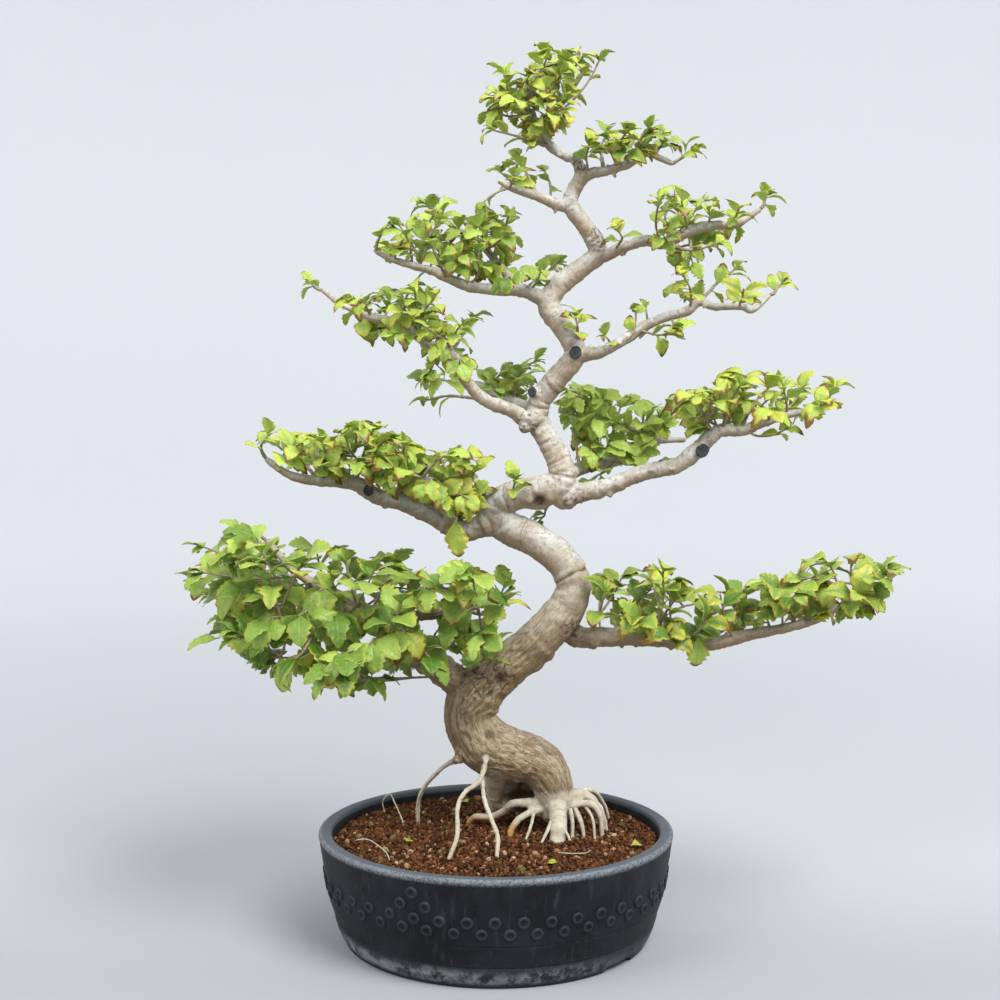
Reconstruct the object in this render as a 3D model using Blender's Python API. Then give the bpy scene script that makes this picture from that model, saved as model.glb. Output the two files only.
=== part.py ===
"""A rose of sharon bonsai standing in a round drum pot of dark glazed clay.

The tables below are in millimetres, with the pot's axis at x = y = 0, the ground at z = 0
and the front of the tree towards -Y. A mesh is scaled to metres when it is made, and at the
end the whole part is moved so that the origin lies under the middle of its bounding box.
"""

import math
import random

import bmesh
import bpy
import numpy as np
from mathutils import Vector
from mathutils.bvhtree import BVHTree

MM = 0.001
FIT = 0.3

# Pot
POT_HEIGHT = 109
RIM_RADIUS = 178
RIM_WIDTH = 12.5
FLOOR_TOP = 12
FLOOR_RADIUS = 146
POT_SIDES = 42
NOTCH_WIDTH = 42
NOTCH_HEIGHT = 5.5
NOTCH_AZIMUTHS = (50, 230)
DRAIN_RADIUS = 10
DRAIN_CIRCLE = 75

# Round studs raised from the pot's wall, in two staggered rows with three peaks
STUDS_PER_ROW = 42
STUD_RADIUS = 6.2
STUD_PROUD = 1.9
STUD_SIDES = 5
STUD_ROWS = (56.5, 67.5, 79.5, 92)
PEAK_AZIMUTHS = (-25.7, 94.3, 214.3)

# Soil
SOIL_EDGE = 97.5
SOIL_MOUND = 4
SOIL_CROWN = 70
ROOT_CLEARANCE = 0.45
ROOT_END_DEPTH = 11
ROOT_SIDES = 5

# Leaves, whose outline is given as (part of the length, part of the length out from the rib):
# neck, lobe, notch, tip, and back down the other side. It splits alike on both faces.
LEAF_THICKNESS = 0.75
LEAF_EDGE = [(0, 0), (0.5, 0.34), (0.66, 0.2), (1, 0), (0.66, -0.2), (0.5, -0.34)]
LEAF_FACES = [(0, 1, 5), (1, 2, 4), (1, 4, 5), (2, 3, 4)]
LEAF_LIFT = 0.22
LEAF_WOOD_GAP = 2.6
LEAF_LEAF_GAP = 4.2
LEAF_TRIES = 40
GOLDEN_ANGLE = math.radians(137.5)
SEED = 7

# The stems of leafy shoots
STEM_BASE_RADIUS = 2.3
STEM_TIP_RADIUS = 1.5
SIDE_STEM_RADIUS = 2
STEM_STEPS = 3
STEM_SIDES = 3
LEAFY_PART = 0.62

# Sides of the round wood
TRUNK_SIDES = 8
LIMB_SIDES = 6
THIN_LIMB_SIDES = 5
THIN_LIMB_RADIUS = 9

# Where a leaf is felt out for what it comes close to: along its rib, and half its width there.
# Leaves of one shoot may meet at their necks, so the first of these points are left out there.
LEAF_FEELERS = [(0.3, 0.2), (0.4, 0.27), (0.5, 0.34), (0.62, 0.24), (0.75, 0.15), (0.9, 0.06),
                (1, 0)]
NECK_FEELERS = 10

# The outer side of the pot, from the rim down: radius and height
POT_WALL = [(176.5, 109), (178, 105), (167.7, 44), (162.6, 25.5), (160, 23.5), (156.5, 7),
            (150.8, 0), (138, 0), (136.5, 5)]

# Wood, as routes of (x, y, z, radius). The trunk doubles back on itself at its second bend,
# so it is drawn as two stretches that meet there.
TRUNK = {
    "lower": [(60, 12, 116, 15), (60, 12, 136, 19), (54, 12, 156, 22), (39, 12, 172, 24),
              (11, 12, 181, 27), (-14, 12, 194, 28), (-27, 10, 220, 25.5), (-20, 8, 242, 27),
              (1, 5, 264, 22), (26, 0, 288, 20), (53, -4, 312, 20.5), (73, -5, 337, 18),
              (77, -4, 359, 17), (62, 0, 382, 16.5), (34, 5, 401, 16.5), (11, 8, 411, 16.5),
              (-4, 8, 426, 14)],
    "upper": [(-2, 8, 418, 13), (0, 8, 432, 15.5), (15, 6, 442, 15), (39, 0, 447, 15),
              (63, -2, 454, 15), (65, 0, 472, 13), (55, 4, 494, 11.5), (43, 8, 515, 10.5),
              (43, 8, 536, 11), (57, 3, 556, 11), (78, -4, 582, 10.5), (70, -3, 604, 10),
              (53, 2, 629, 10.5), (60, 5, 649, 10.5), (86, 5, 670, 9.5), (101, 2, 685, 9.5),
              (89, -2, 708, 8), (74, -3, 728, 8), (76, 0, 743, 7), (86, 3, 760, 7)],
}
LIMBS = {
    "a": [(-28, 8, 246, 17), (-46, 5, 261, 15), (-64, 0, 275, 14), (-84, -8, 289, 12),
          (-107, -18, 307, 10), (-132, -25, 324, 8), (-158, -28, 342, 7), (-179, -30, 358, 6),
          (-202, -28, 375, 5), (-225, -25, 400, 3)],
    "a_low": [(-128, -24, 322, 6), (-151, -45, 326, 5.5), (-171, -60, 327, 4.5),
              (-184, -68, 320, 4), (-198, -74, 315, 3)],
    "a_back": [(-110, -17, 309, 6.5), (-127, 15, 324, 5.5), (-156, 45, 336, 4.5),
               (-185, 75, 342, 3)],
    "a_front": [(-86, -9, 292, 7), (-95, -42, 303, 6), (-108, -75, 302, 5), (-125, -98, 297, 3)],
    "a_right": [(-105, -17, 306, 6.5), (-88, 5, 320, 5.5), (-60, 22, 321, 4.5),
                (-32, 32, 324, 3.2)],
    "b": [(60, 5, 320, 13), (82, 8, 301, 10.5), (106, 8, 300, 10), (137, 5, 301, 9),
          (166, 0, 300, 8.5), (190, -4, 297, 7.5), (219, -6, 296, 6.5), (249, -8, 304, 6),
          (273, -10, 309, 5), (298, -10, 314, 4.5), (322, -8, 321, 3.5), (342, -5, 333, 2.6)],
    "c": [(0, 8, 418, 13), (-26, 12, 408, 10.5), (-44, 14, 410, 9.5), (-64, 14, 422, 9),
          (-95, 10, 436, 8.5), (-118, 6, 442, 8), (-139, 0, 455, 7.5), (-157, -3, 458, 6.5),
          (-184, -6, 459, 5), (-204, -8, 464, 4), (-218, -10, 473, 3.4), (-227, -10, 480, 2.6)],
    "c_up": [(-43, 13, 411, 7), (-48, -20, 434, 6), (-57, -35, 455, 4.5), (-71, -45, 463, 3)],
    "d": [(64, -1, 442, 13), (86, -4, 447, 9.5), (112, -10, 453, 8.5), (143, -16, 466, 7.5),
          (178, -20, 474, 7.5), (197, -22, 489, 8), (219, -22, 508, 6.5), (241, -24, 508, 5),
          (261, -26, 516, 4.5), (290, -26, 525, 3.5), (311, -26, 527, 2.6)],
    "e": [(64, 2, 459, 9), (81, 40, 467, 7), (105, 60, 472, 6), (123, 70, 475, 5.5),
          (140, 80, 485, 5), (155, 88, 495, 4.3), (180, 95, 497, 3.4), (200, 98, 497, 2.5)],
    "f": [(42, 8, 514, 8.5), (28, 0, 520, 7.5), (16, -4, 528, 7), (-12, -10, 539, 6),
          (-32, -14, 561, 5.5), (-44, -16, 583, 5), (-68, -18, 594, 4.5), (-86, -20, 608, 4),
          (-96, -20, 615, 4), (-122, -18, 619, 3.5), (-140, -16, 627, 3), (-154, -15, 633, 2.6),
          (-170, -14, 646, 2.2)],
    "g": [(42, 8, 527, 7), (25, 45, 534, 5.5), (4, 75, 544, 5), (-19, 95, 555, 4),
          (-44, 110, 555, 3)],
    "h": [(53, 4, 635, 8), (34, 0, 644, 6.5), (18, -2, 647, 6), (2, -4, 647, 5.5),
          (-26, -8, 650, 5), (-48, -10, 658, 4.5), (-60, -12, 664, 4), (-82, -13, 670, 3.5),
          (-100, -14, 675, 3), (-117, -15, 683, 2.3)],
    "h_up": [(22, -1, 647, 4.5), (10, 12, 664, 4), (-6, 25, 685, 3.5), (-16, 30, 697, 3.3),
             (-39, 35, 711, 2.8), (-58, 38, 726, 2.2)],
    "i": [(77, -4, 580, 8), (93, -8, 584, 6.5), (105, -12, 586, 5.5), (132, -16, 601, 5),
          (149, -18, 612, 5), (166, -20, 619, 4.5), (187, -20, 625, 4.5), (199, -20, 634, 4),
          (213, -22, 629, 3.5), (238, -24, 629, 3), (250, -24, 625, 2.6), (267, -22, 640, 2.2)],
    "j": [(99, 2, 681, 8), (111, 0, 682, 6), (123, -2, 688, 5.5), (147, -5, 695, 5.5),
          (168, -8, 692, 5), (188, -10, 703, 5), (215, -12, 709, 4.5), (233, -14, 709, 3.8),
          (245, -14, 715, 3), (258, -14, 724, 2.3)],
    "k": [(76, -2, 729, 6), (63, -6, 729, 5.5), (51, -12, 733, 5), (36, -18, 738, 4.3),
          (19, -22, 742, 3.4), (3, -25, 750, 2.5)],
    "l": [(86, 3, 758, 6), (79, 2, 775, 5), (71, 0, 777, 4.5), (56, -3, 785, 4.5),
          (45, -5, 797, 4), (40, -6, 810, 3.5), (31, -7, 819, 3), (33, -5, 836, 2.6),
          (39, -3, 856, 2.3), (43, 0, 871, 2)],
    "m": [(85, 3, 757, 5.5), (97, 0, 762, 5), (108, -2, 763, 4.5), (131, -6, 770, 4),
          (147, -8, 780, 3.2), (161, -10, 774, 2.8), (173, -10, 769, 2.4)],
}
ROOTS = {
    "front": [(61, 5, 134, 9), (62, -8, 122, 7.5), (63, -18, 110, 5.5), (62, -25, 99, 4)],
    "right": [(70, 12, 136, 8), (91, 16, 136, 6.5), (105, 20, 120, 6), (111, 24, 101, 4.5)],
    "right_low": [(73, 6, 128, 6), (95, 4, 131, 5), (105, 0, 120, 3.5), (107, -2, 102, 3)],
    "right_back": [(81, 20, 138, 4), (100, 40, 135, 3.5), (112, 55, 118, 3), (118, 62, 100, 2.6)],
    "back": [(62, 24, 128, 8), (72, 48, 122, 6), (80, 66, 110, 4.5), (82, 72, 99, 3.5)],
    "back_left": [(50, 24, 128, 7), (36, 48, 118, 5.5), (26, 64, 108, 4.5), (23, 70, 99, 3.5)],
    "left": [(45, 8, 130, 8), (19, 6, 131, 5.5), (9, 14, 121, 5), (-4, 24, 112, 4.5),
             (-22, 33, 109, 3.5), (-29, 36, 101, 3)],
    "left_front": [(48, 4, 126, 6), (28, -2, 120, 5), (17, -6, 110, 4.5), (14, -8, 100, 4)],
    "air_left": [(-30, 8, 182, 5), (-55, 10, 165, 3.2), (-72, 22, 145, 3), (-80, 34, 125, 3),
                 (-81, 40, 101, 3)],
    "air_front": [(-9, -8, 188, 5), (-11, -22, 176, 3.5), (-17, -40, 164, 3.2),
                  (-30, -54, 157, 3), (-37, -62, 144, 3), (-37, -72, 120, 3), (-44, -79, 100, 3)],
    "air_fork": [(-14, -33, 168, 3), (-11, -48, 148, 3), (-4, -60, 132, 3), (2, -68, 116, 3),
                 (1, -75, 100, 3)],
    "leg": [(-12, 20, 172, 13), (-4, 40, 141, 10), (0, 60, 118, 8.5), (1, 70, 101, 8)],
}

# Pruning cuts: the limb's axis there, the way the cut faces, the wood's radius, the cut's radius
CUTS = {
    "paste_trunk_high": ((80, -4, 584), (-0.15, -1, 0.05), 10.5, 6.5),
    "paste_trunk_low": ((43, 8, 545), (-0.5, -0.85, 0.1), 11, 5.2),
    "paste_limb_left": ((-126, 4, 447), (-0.05, -1, 0.15), 7.8, 5.6),
    "paste_limb_right": ((199, -22, 490), (0.2, -0.96, -0.1), 7.8, 7),
}
CUT_PROUD = 2.4
PASTE_THICKNESS = 2.2

# Leafy shoots: where each leaves its limb, a point on its way and its tip, then its leaves'
# length and how many it bears
SHOOTS = {
    "a1": ((-225, -25, 400), (-240, -32, 409), (-253, -38, 406), 25, 5),
    "a2": ((-202, -28, 375), (-246, 2, 379), (-294, 14, 390), 26, 5),
    "a3": ((-192, -29, 367), (-237, -55, 367), (-278, -66, 373), 27, 5),
    "a4": ((-177, -30, 358), (-238, 25, 331), (-290, 38, 339), 27, 5),
    "a5": ((-198, -74, 315), (-222, -80, 310), (-244, -84, 317), 29, 5),
    "a6": ((-171, -60, 327), (-179, -88, 304), (-193, -98, 292), 29, 5),
    "a7": ((-125, -98, 297), (-140, -110, 289), (-153, -118, 286), 29, 5),
    "a8": ((-132, -25, 324), (-140, -36, 355), (-146, -40, 381), 27, 5),
    "a9": ((-127, 15, 324), (-113, 18, 351), (-105, 14, 371), 26, 5),
    "a11": ((-32, 32, 324), (-4, 34, 323), (8, 26, 348), 25, 5),
    "a12": ((-185, 75, 342), (-208, 88, 357), (-230, 96, 367), 26, 5),
    "b1": ((95, 8, 300), (103, -14, 328), (107, -24, 349), 24, 5),
    "b2": ((125, 6, 301), (141, 34, 322), (157, 48, 341), 24, 5),
    "b3": ((160, 1, 300), (165, -30, 326), (177, -46, 348), 24, 5),
    "b4": ((204, -5, 296), (225, 28, 312), (239, 46, 333), 24, 5),
    "b6": ((293, -10, 313), (315, 22, 334), (334, 36, 355), 24, 5),
    "b7": ((342, -5, 333), (365, -8, 354), (388, -8, 368), 25, 6),
    "c1": ((-227, -10, 480), (-232, -14, 492), (-224, -20, 503), 21, 4),
    "c2": ((-177, -5, 459), (-198, 22, 477), (-228, 36, 496), 22, 4),
    "c4": ((-137, 0, 454), (-146, 22, 476), (-142, 32, 502), 24, 4),
    "c5": ((-100, 9, 437), (-94, -18, 466), (-89, -36, 492), 24, 4),
    "c6": ((-71, -45, 463), (-61, -56, 477), (-47, -62, 485), 23, 4),
    "c7": ((-38, 13, 409), (-28, 12, 438), (-22, 6, 465), 23, 4),
    "d1": ((208, -22, 499), (202, -6, 523), (197, 4, 540), 22, 4),
    "d2": ((222, -22, 508), (224, -46, 532), (233, -58, 551), 22, 4),
    "d3": ((239, -24, 508), (260, 6, 536), (282, 18, 557), 22, 4),
    "d4": ((311, -26, 527), (323, -24, 536), (331, -22, 550), 21, 5),
    "e1": ((86, 45, 468), (83, 62, 502), (77, 70, 531), 22, 4),
    "e2": ((114, 65, 474), (122, 90, 503), (132, 104, 531), 22, 4),
    "e3": ((162, 90, 496), (169, 76, 518), (178, 66, 535), 22, 4),
    "f1": ((-170, -14, 646), (-175, -13, 649), (-181, -12, 652), 17, 3),
    "f3": ((-92, -20, 612), (-91, 4, 634), (-84, 14, 650), 20, 4),
    "f4": ((-44, -16, 583), (-34, 8, 602), (-24, 18, 619), 20, 4),
    "f5": ((-12, -10, 539), (-40, 16, 543), (-67, 28, 539), 20, 4),
    "g1": ((4, 75, 544), (23, 84, 566), (40, 86, 579), 20, 5),
    "h1": ((-117, -15, 683), (-115, -20, 694), (-105, -26, 707), 19, 4),
    "h2": ((-58, 38, 726), (-65, 40, 733), (-71, 40, 737), 19, 4),
    "h3": ((-48, -10, 658), (-54, -38, 671), (-61, -52, 684), 20, 4),
    "h4": ((-10, 27, 689), (4, 12, 701), (12, 4, 718), 20, 4),
    "i1": ((85, -4, 593), (80, -20, 607), (78, -26, 618), 18, 5),
    "i3": ((196, -20, 631), (218, 4, 651), (238, 14, 668), 20, 5),
    "i4": ((267, -22, 640), (273, -21, 645), (279, -20, 651), 17, 3),
    "j2": ((181, -9, 699), (193, 14, 721), (207, 24, 737), 20, 4),
    "j3": ((168, -8, 692), (187, -36, 682), (210, -50, 687), 20, 4),
    "j4": ((258, -14, 724), (262, -14, 731), (264, -14, 737), 19, 5),
    "k1": ((39, -17, 738), (32, -6, 758), (20, 2, 775), 19, 5),
    "l1": ((56, -3, 785), (31, -26, 789), (-2, -38, 796), 19, 4),
    "l2": ((32, -6, 826), (16, 6, 842), (8, 10, 860), 19, 4),
    "l3": ((43, 0, 871), (44, 2, 876), (45, 3, 881), 18, 5),
    "l4": ((44, -5, 804), (69, 10, 835), (86, 18, 860), 19, 4),
    "m1": ((106, -2, 763), (105, 12, 784), (110, 18, 803), 19, 4),
    "m2": ((139, -7, 775), (140, -22, 788), (147, -30, 798), 19, 4),
    "m3": ((173, -10, 769), (182, -10, 775), (190, -10, 782), 19, 5),
}

# Side twigs that leave a shoot a third of the way up: a point on the way and the tip, then their
# leaves' length and how many they bear
SIDE_TWIGS = {
    "a7": ((-124, -78, 276), (-112, -44, 268), 26, 5),
    "a9": ((-100, 50, 345), (-72, 80, 332), 26, 5),
    "a11": ((-14, -18, 336), (-44, -66, 324), 26, 5),
    "a12": ((-196, 92, 315), (-165, 78, 284), 26, 5),
    "b6": ((286, -22, 345), (264, -44, 358), 24, 5),
}


def scatter(*key):
    """A repeatable draw from -1 to 1 for a place named by whole numbers."""
    return random.Random(f"{SEED} {key}").uniform(-1, 1)


def material(name, colour, roughness):
    """A plain finish for one kind of piece."""
    finish = bpy.data.materials.get(name) or bpy.data.materials.new(name)
    finish.use_nodes = True
    shader = finish.node_tree.nodes["Principled BSDF"]
    shader.inputs["Base Color"].default_value = (*colour, 1)
    shader.inputs["Roughness"].default_value = roughness
    finish.diffuse_color = (*colour, 1)
    return finish


def loft(name, rings):
    """A closed skin through rings of points, with both ends filled."""
    bm = bmesh.new()
    rows = [[bm.verts.new(Vector(point) * MM) for point in ring] for ring in rings]
    for low, high in zip(rows, rows[1:]):
        for i, corner in enumerate(low):
            j = (i + 1) % len(low)
            bm.faces.new((corner, low[j], high[j], high[i]))
    bm.faces.new(rows[0])
    bm.faces.new(rows[-1])
    bmesh.ops.recalc_face_normals(bm, faces=bm.faces)
    mesh = bpy.data.meshes.new(name)
    bm.to_mesh(mesh)
    bm.free()
    body = bpy.data.objects.new(name, mesh)
    bpy.context.scene.collection.objects.link(body)
    return body


def turned(profile, sides, lift=None):
    """Rings round the pot's axis for a profile of (radius, height)."""
    rings = []
    for row, (radius, height) in enumerate(profile):
        ring = []
        for i in range(sides):
            angle = 2 * math.pi * (i + 0.5) / sides
            rise = lift(row, i, radius) if lift else 0
            ring.append((radius * math.sin(angle), -radius * math.cos(angle), height + rise))
        rings.append(ring)
    return rings


def ring_at(centre, axis, side, radius, sides):
    """A ring of points round an axis, starting from the given side."""
    across = axis.cross(side).normalized()
    side = across.cross(axis)
    turns = [2 * math.pi * i / sides for i in range(sides)]
    return [centre + radius * (math.cos(t) * side + math.sin(t) * across) for t in turns]


def tube_rings(route, sides, grow=0.0, first_axis=None):
    """Rings along a route of (x, y, z, radius), each square to the bend there."""
    centres = [Vector(point[:3]) for point in route]
    rings = []
    side = None
    for i, centre in enumerate(centres):
        before = (centre - centres[max(i - 1, 0)]).normalized()
        after = (centres[min(i + 1, len(centres) - 1)] - centre).normalized()
        axis = (before + after).normalized()
        if i == 0 and first_axis:
            axis = first_axis
        widen = min(1 / max(axis.dot(after if i == 0 else before), 0.5), 1.15)
        if side is None:
            side = axis.orthogonal()
        side = (side - axis * side.dot(axis)).normalized()
        radius = route[i][3] * (1 if i == 0 else widen) + grow
        rings.append(ring_at(centre, axis, side, radius, sides))
    return rings


def combine(body, pieces, operation):
    """Adds the pieces to the body, or takes them from it, and removes them."""
    group = bpy.data.collections.new("pieces")
    bpy.context.scene.collection.children.link(group)
    for piece in pieces:
        bpy.context.scene.collection.objects.unlink(piece)
        group.objects.link(piece)
    boolean = body.modifiers.new("combine", "BOOLEAN")
    boolean.operation = operation
    boolean.operand_type = "COLLECTION"
    boolean.collection = group
    boolean.solver = "EXACT"
    bpy.context.view_layer.update()
    graph = bpy.context.evaluated_depsgraph_get()
    mesh = bpy.data.meshes.new_from_object(body.evaluated_get(graph))
    body.modifiers.clear()
    body.data = mesh
    for piece in pieces:
        bpy.data.objects.remove(piece)
    bpy.data.collections.remove(group)
    return body


def finish(body, look):
    """Names the mesh, gives the body its one material and shades its round parts smooth."""
    body.data.name = body.name
    body.data.materials.clear()
    body.data.materials.append(look)
    body.data.shade_smooth()
    body.data.set_sharp_from_angle(angle=math.radians(40))
    return body


def wall_at(height):
    """The pot's outer radius at a height, and its slope there."""
    for (upper, top), (lower, bottom) in zip(POT_WALL, POT_WALL[1:]):
        if bottom <= height <= top:
            part = (height - bottom) / (top - bottom)
            return lower + part * (upper - lower), (upper - lower) / (top - bottom)
    raise ValueError("height off the pot's wall")


def stud(azimuth, height):
    """A low round boss standing square to the pot's wall."""
    radius, slope = wall_at(height)
    turn = math.radians(azimuth)
    out = Vector((math.sin(turn), -math.cos(turn), -slope)).normalized()
    centre = Vector((radius * math.sin(turn), -radius * math.cos(turn), height))
    route = [(*(centre - 2.5 * out), STUD_RADIUS), (*(centre + STUD_PROUD * out), 0.74 * STUD_RADIUS)]
    return loft("stud", tube_rings(route, STUD_SIDES))


def make_pot():
    """Wall, rim, foot ring, floor with drain holes, and the studs round the wall."""
    inside = [(FLOOR_RADIUS, FLOOR_TOP), (RIM_RADIUS - RIM_WIDTH, POT_HEIGHT)]
    pot = loft("pot", turned(inside + POT_WALL, POT_SIDES))
    pitch = 360 / STUDS_PER_ROW
    studs = [stud(i * pitch + shift * pitch, STUD_ROWS[row])
             for row, shift in ((0, 0.5), (1, 0)) for i in range(STUDS_PER_ROW)]
    for azimuth in PEAK_AZIMUTHS:
        studs += [stud(azimuth - pitch / 2, STUD_ROWS[2]), stud(azimuth + pitch / 2, STUD_ROWS[2])]
        studs.append(stud(azimuth, STUD_ROWS[3]))
    combine(pot, studs, "UNION")
    cutters = []
    for azimuth in NOTCH_AZIMUTHS:
        turn = math.radians(azimuth)
        out = Vector((math.sin(turn), -math.cos(turn), 0))
        along = Vector((math.cos(turn), math.sin(turn), 0)) * NOTCH_WIDTH / 2
        rise = Vector((0, 0, NOTCH_HEIGHT))
        corners = [-along - 3 * rise, along - 3 * rise, 0.85 * along + rise, -0.85 * along + rise]
        cutters.append(loft("notch", [[out * reach + c for c in corners] for reach in (120, 175)]))
    for i in range(3):
        turn = math.radians(120 * i + 30)
        place = (DRAIN_CIRCLE * math.sin(turn), DRAIN_CIRCLE * math.cos(turn))
        route = [(*place, -5, DRAIN_RADIUS), (*place, FLOOR_TOP + 5, DRAIN_RADIUS)]
        cutters.append(loft("drain", tube_rings(route, 8)))
    combine(pot, cutters, "DIFFERENCE")
    return finish(pot, material("glazed clay", (0.045, 0.052, 0.062), 0.38))


def make_soil():
    """Grit that fills the pot and rises a little towards the roots, with a hole for each root."""
    slope = (RIM_RADIUS - RIM_WIDTH - FLOOR_RADIUS) / (POT_HEIGHT - FLOOR_TOP)
    edge = FLOOR_RADIUS + slope * (SOIL_EDGE - FLOOR_TOP) - FIT

    def lift(row, i, radius):
        if row < 2:
            return 0
        return SOIL_MOUND * (1 - (radius / edge) ** 2) + 0.9 * scatter(row, i)

    profile = [(FLOOR_RADIUS - FIT, FLOOR_TOP + FIT), (edge, SOIL_EDGE), (SOIL_CROWN, SOIL_EDGE)]
    soil = loft("soil", turned(profile, POT_SIDES, lift))
    holes = []
    for route in ROOTS.values():
        rings = tube_rings(rooted(route, ROOT_CLEARANCE), ROOT_SIDES, ROOT_CLEARANCE)
        holes.append(loft("hole", rings[-3:]))
    combine(soil, holes, "DIFFERENCE")
    return finish(soil, material("cinder grit", (0.16, 0.07, 0.04), 0.95))


def rooted(route, deeper=0.0):
    """A root's route with its end carried down into the soil."""
    before, end = Vector(route[-2][:3]), Vector(route[-1][:3])
    way = (end - before).normalized()
    way = Vector((way.x * 0.4, way.y * 0.4, -1)).normalized()
    return route + [(*(end + way * (ROOT_END_DEPTH + deeper)), route[-1][3] * 0.9)]


def make_wood():
    """Trunk, limbs, roots and the stubs of the pruning cuts, grown together as one body."""
    trunk = loft("wood", tube_rings(TRUNK["lower"], TRUNK_SIDES))
    pieces = [loft("upper", tube_rings(TRUNK["upper"], TRUNK_SIDES))]
    for route in LIMBS.values():
        sides = LIMB_SIDES if route[0][3] > THIN_LIMB_RADIUS else THIN_LIMB_SIDES
        pieces.append(loft("limb", tube_rings(route, sides)))
    for route in ROOTS.values():
        pieces.append(loft("root", tube_rings(rooted(route), ROOT_SIDES)))
    for place, facing, wood, cut in CUTS.values():
        way = Vector(facing).normalized()
        end = Vector(place) + way * (wood + CUT_PROUD)
        pieces.append(loft("cut", tube_rings([(*place, cut * 0.9), (*end, cut)], TRUNK_SIDES)))
    combine(trunk, pieces, "UNION")
    return finish(trunk, material("bark", (0.52, 0.46, 0.37), 0.8))


def make_paste(name):
    """A dried plug of wound paste on a pruning cut."""
    place, facing, wood, cut = CUTS[name]
    way = Vector(facing).normalized()
    start = Vector(place) + way * (wood + CUT_PROUD + FIT)
    route = [(*start, cut * 0.82), (*(start + way * PASTE_THICKNESS * 0.6), cut * 0.9),
             (*(start + way * PASTE_THICKNESS), cut * 0.55)]
    plug = loft(name, tube_rings(route, TRUNK_SIDES))
    return finish(plug, material("wound paste", (0.02, 0.02, 0.022), 0.6))


def leaf_point(leaf, along, across, above=0.0):
    """A point of a leaf that arches over along its rib and lifts at its sides."""
    base, way, face, length, droop = leaf
    side = way.cross(face)
    height = length * (LEAF_LIFT * abs(across) - droop * along * along) + above
    return base + way * (along * length) + side * (across * length) + face * height


def leaf_cloud(leaf):
    """Points spread over a leaf's blade, for telling what it comes close to."""
    return np.array([leaf_point(leaf, along, across * part)
                     for along, across in LEAF_FEELERS for part in (-1, -0.5, 0, 0.5, 1)])


def wood_segments():
    """Every stretch of wood as its two ends and their mean radius."""
    starts, ends, radii = [], [], []
    for route in [*TRUNK.values(), *LIMBS.values(), *ROOTS.values()]:
        for low, high in zip(route, route[1:]):
            starts.append(low[:3])
            ends.append(high[:3])
            radii.append(max(low[3], high[3]))
    return np.array(starts, float), np.array(ends, float), np.array(radii, float)


def reach(points, segments):
    """The least distance from a cloud of points to the skin of a set of segments."""
    starts, ends, radii = segments
    run = ends - starts
    part = np.einsum("psk,sk->ps", points[:, None] - starts, run) / (run * run).sum(1)
    nearest = starts + np.clip(part, 0, 1)[..., None] * run
    return (np.linalg.norm(points[:, None] - nearest, axis=2) - radii).min()


def stem_route(twig):
    """Points along a twig's stem, which bends through its middle point."""
    start, middle, tip = (Vector(point) for point in twig[:3])
    bend = 2 * middle - (start + tip) / 2
    parts = [i / STEM_STEPS for i in range(STEM_STEPS + 1)]
    return [(1 - t) ** 2 * start + 2 * t * (1 - t) * bend + t * t * tip for t in parts]


def stem_segments(twig):
    """A twig's stem in the form that wood_segments gives."""
    route = [tuple(point) for point in stem_route(twig)]
    return np.array(route[:-1]), np.array(route[1:]), np.full(len(route) - 1, STEM_BASE_RADIUS)


def stem_tube(route, radius):
    """A stem's route with its radius, which tapers to the tip's."""
    taper = (STEM_TIP_RADIUS - radius) / STEM_STEPS
    return [(*point, radius + taper * i) for i, point in enumerate(route)]


def side_name(shoot):
    return f"{shoot} side"


def all_twigs():
    """The shoots by name, and then their side twigs, each with its start on its shoot."""
    sides = {side_name(shoot): (stem_route(SHOOTS[shoot])[1], *side)
             for shoot, side in SIDE_TWIGS.items()}
    return SHOOTS | sides


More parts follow.
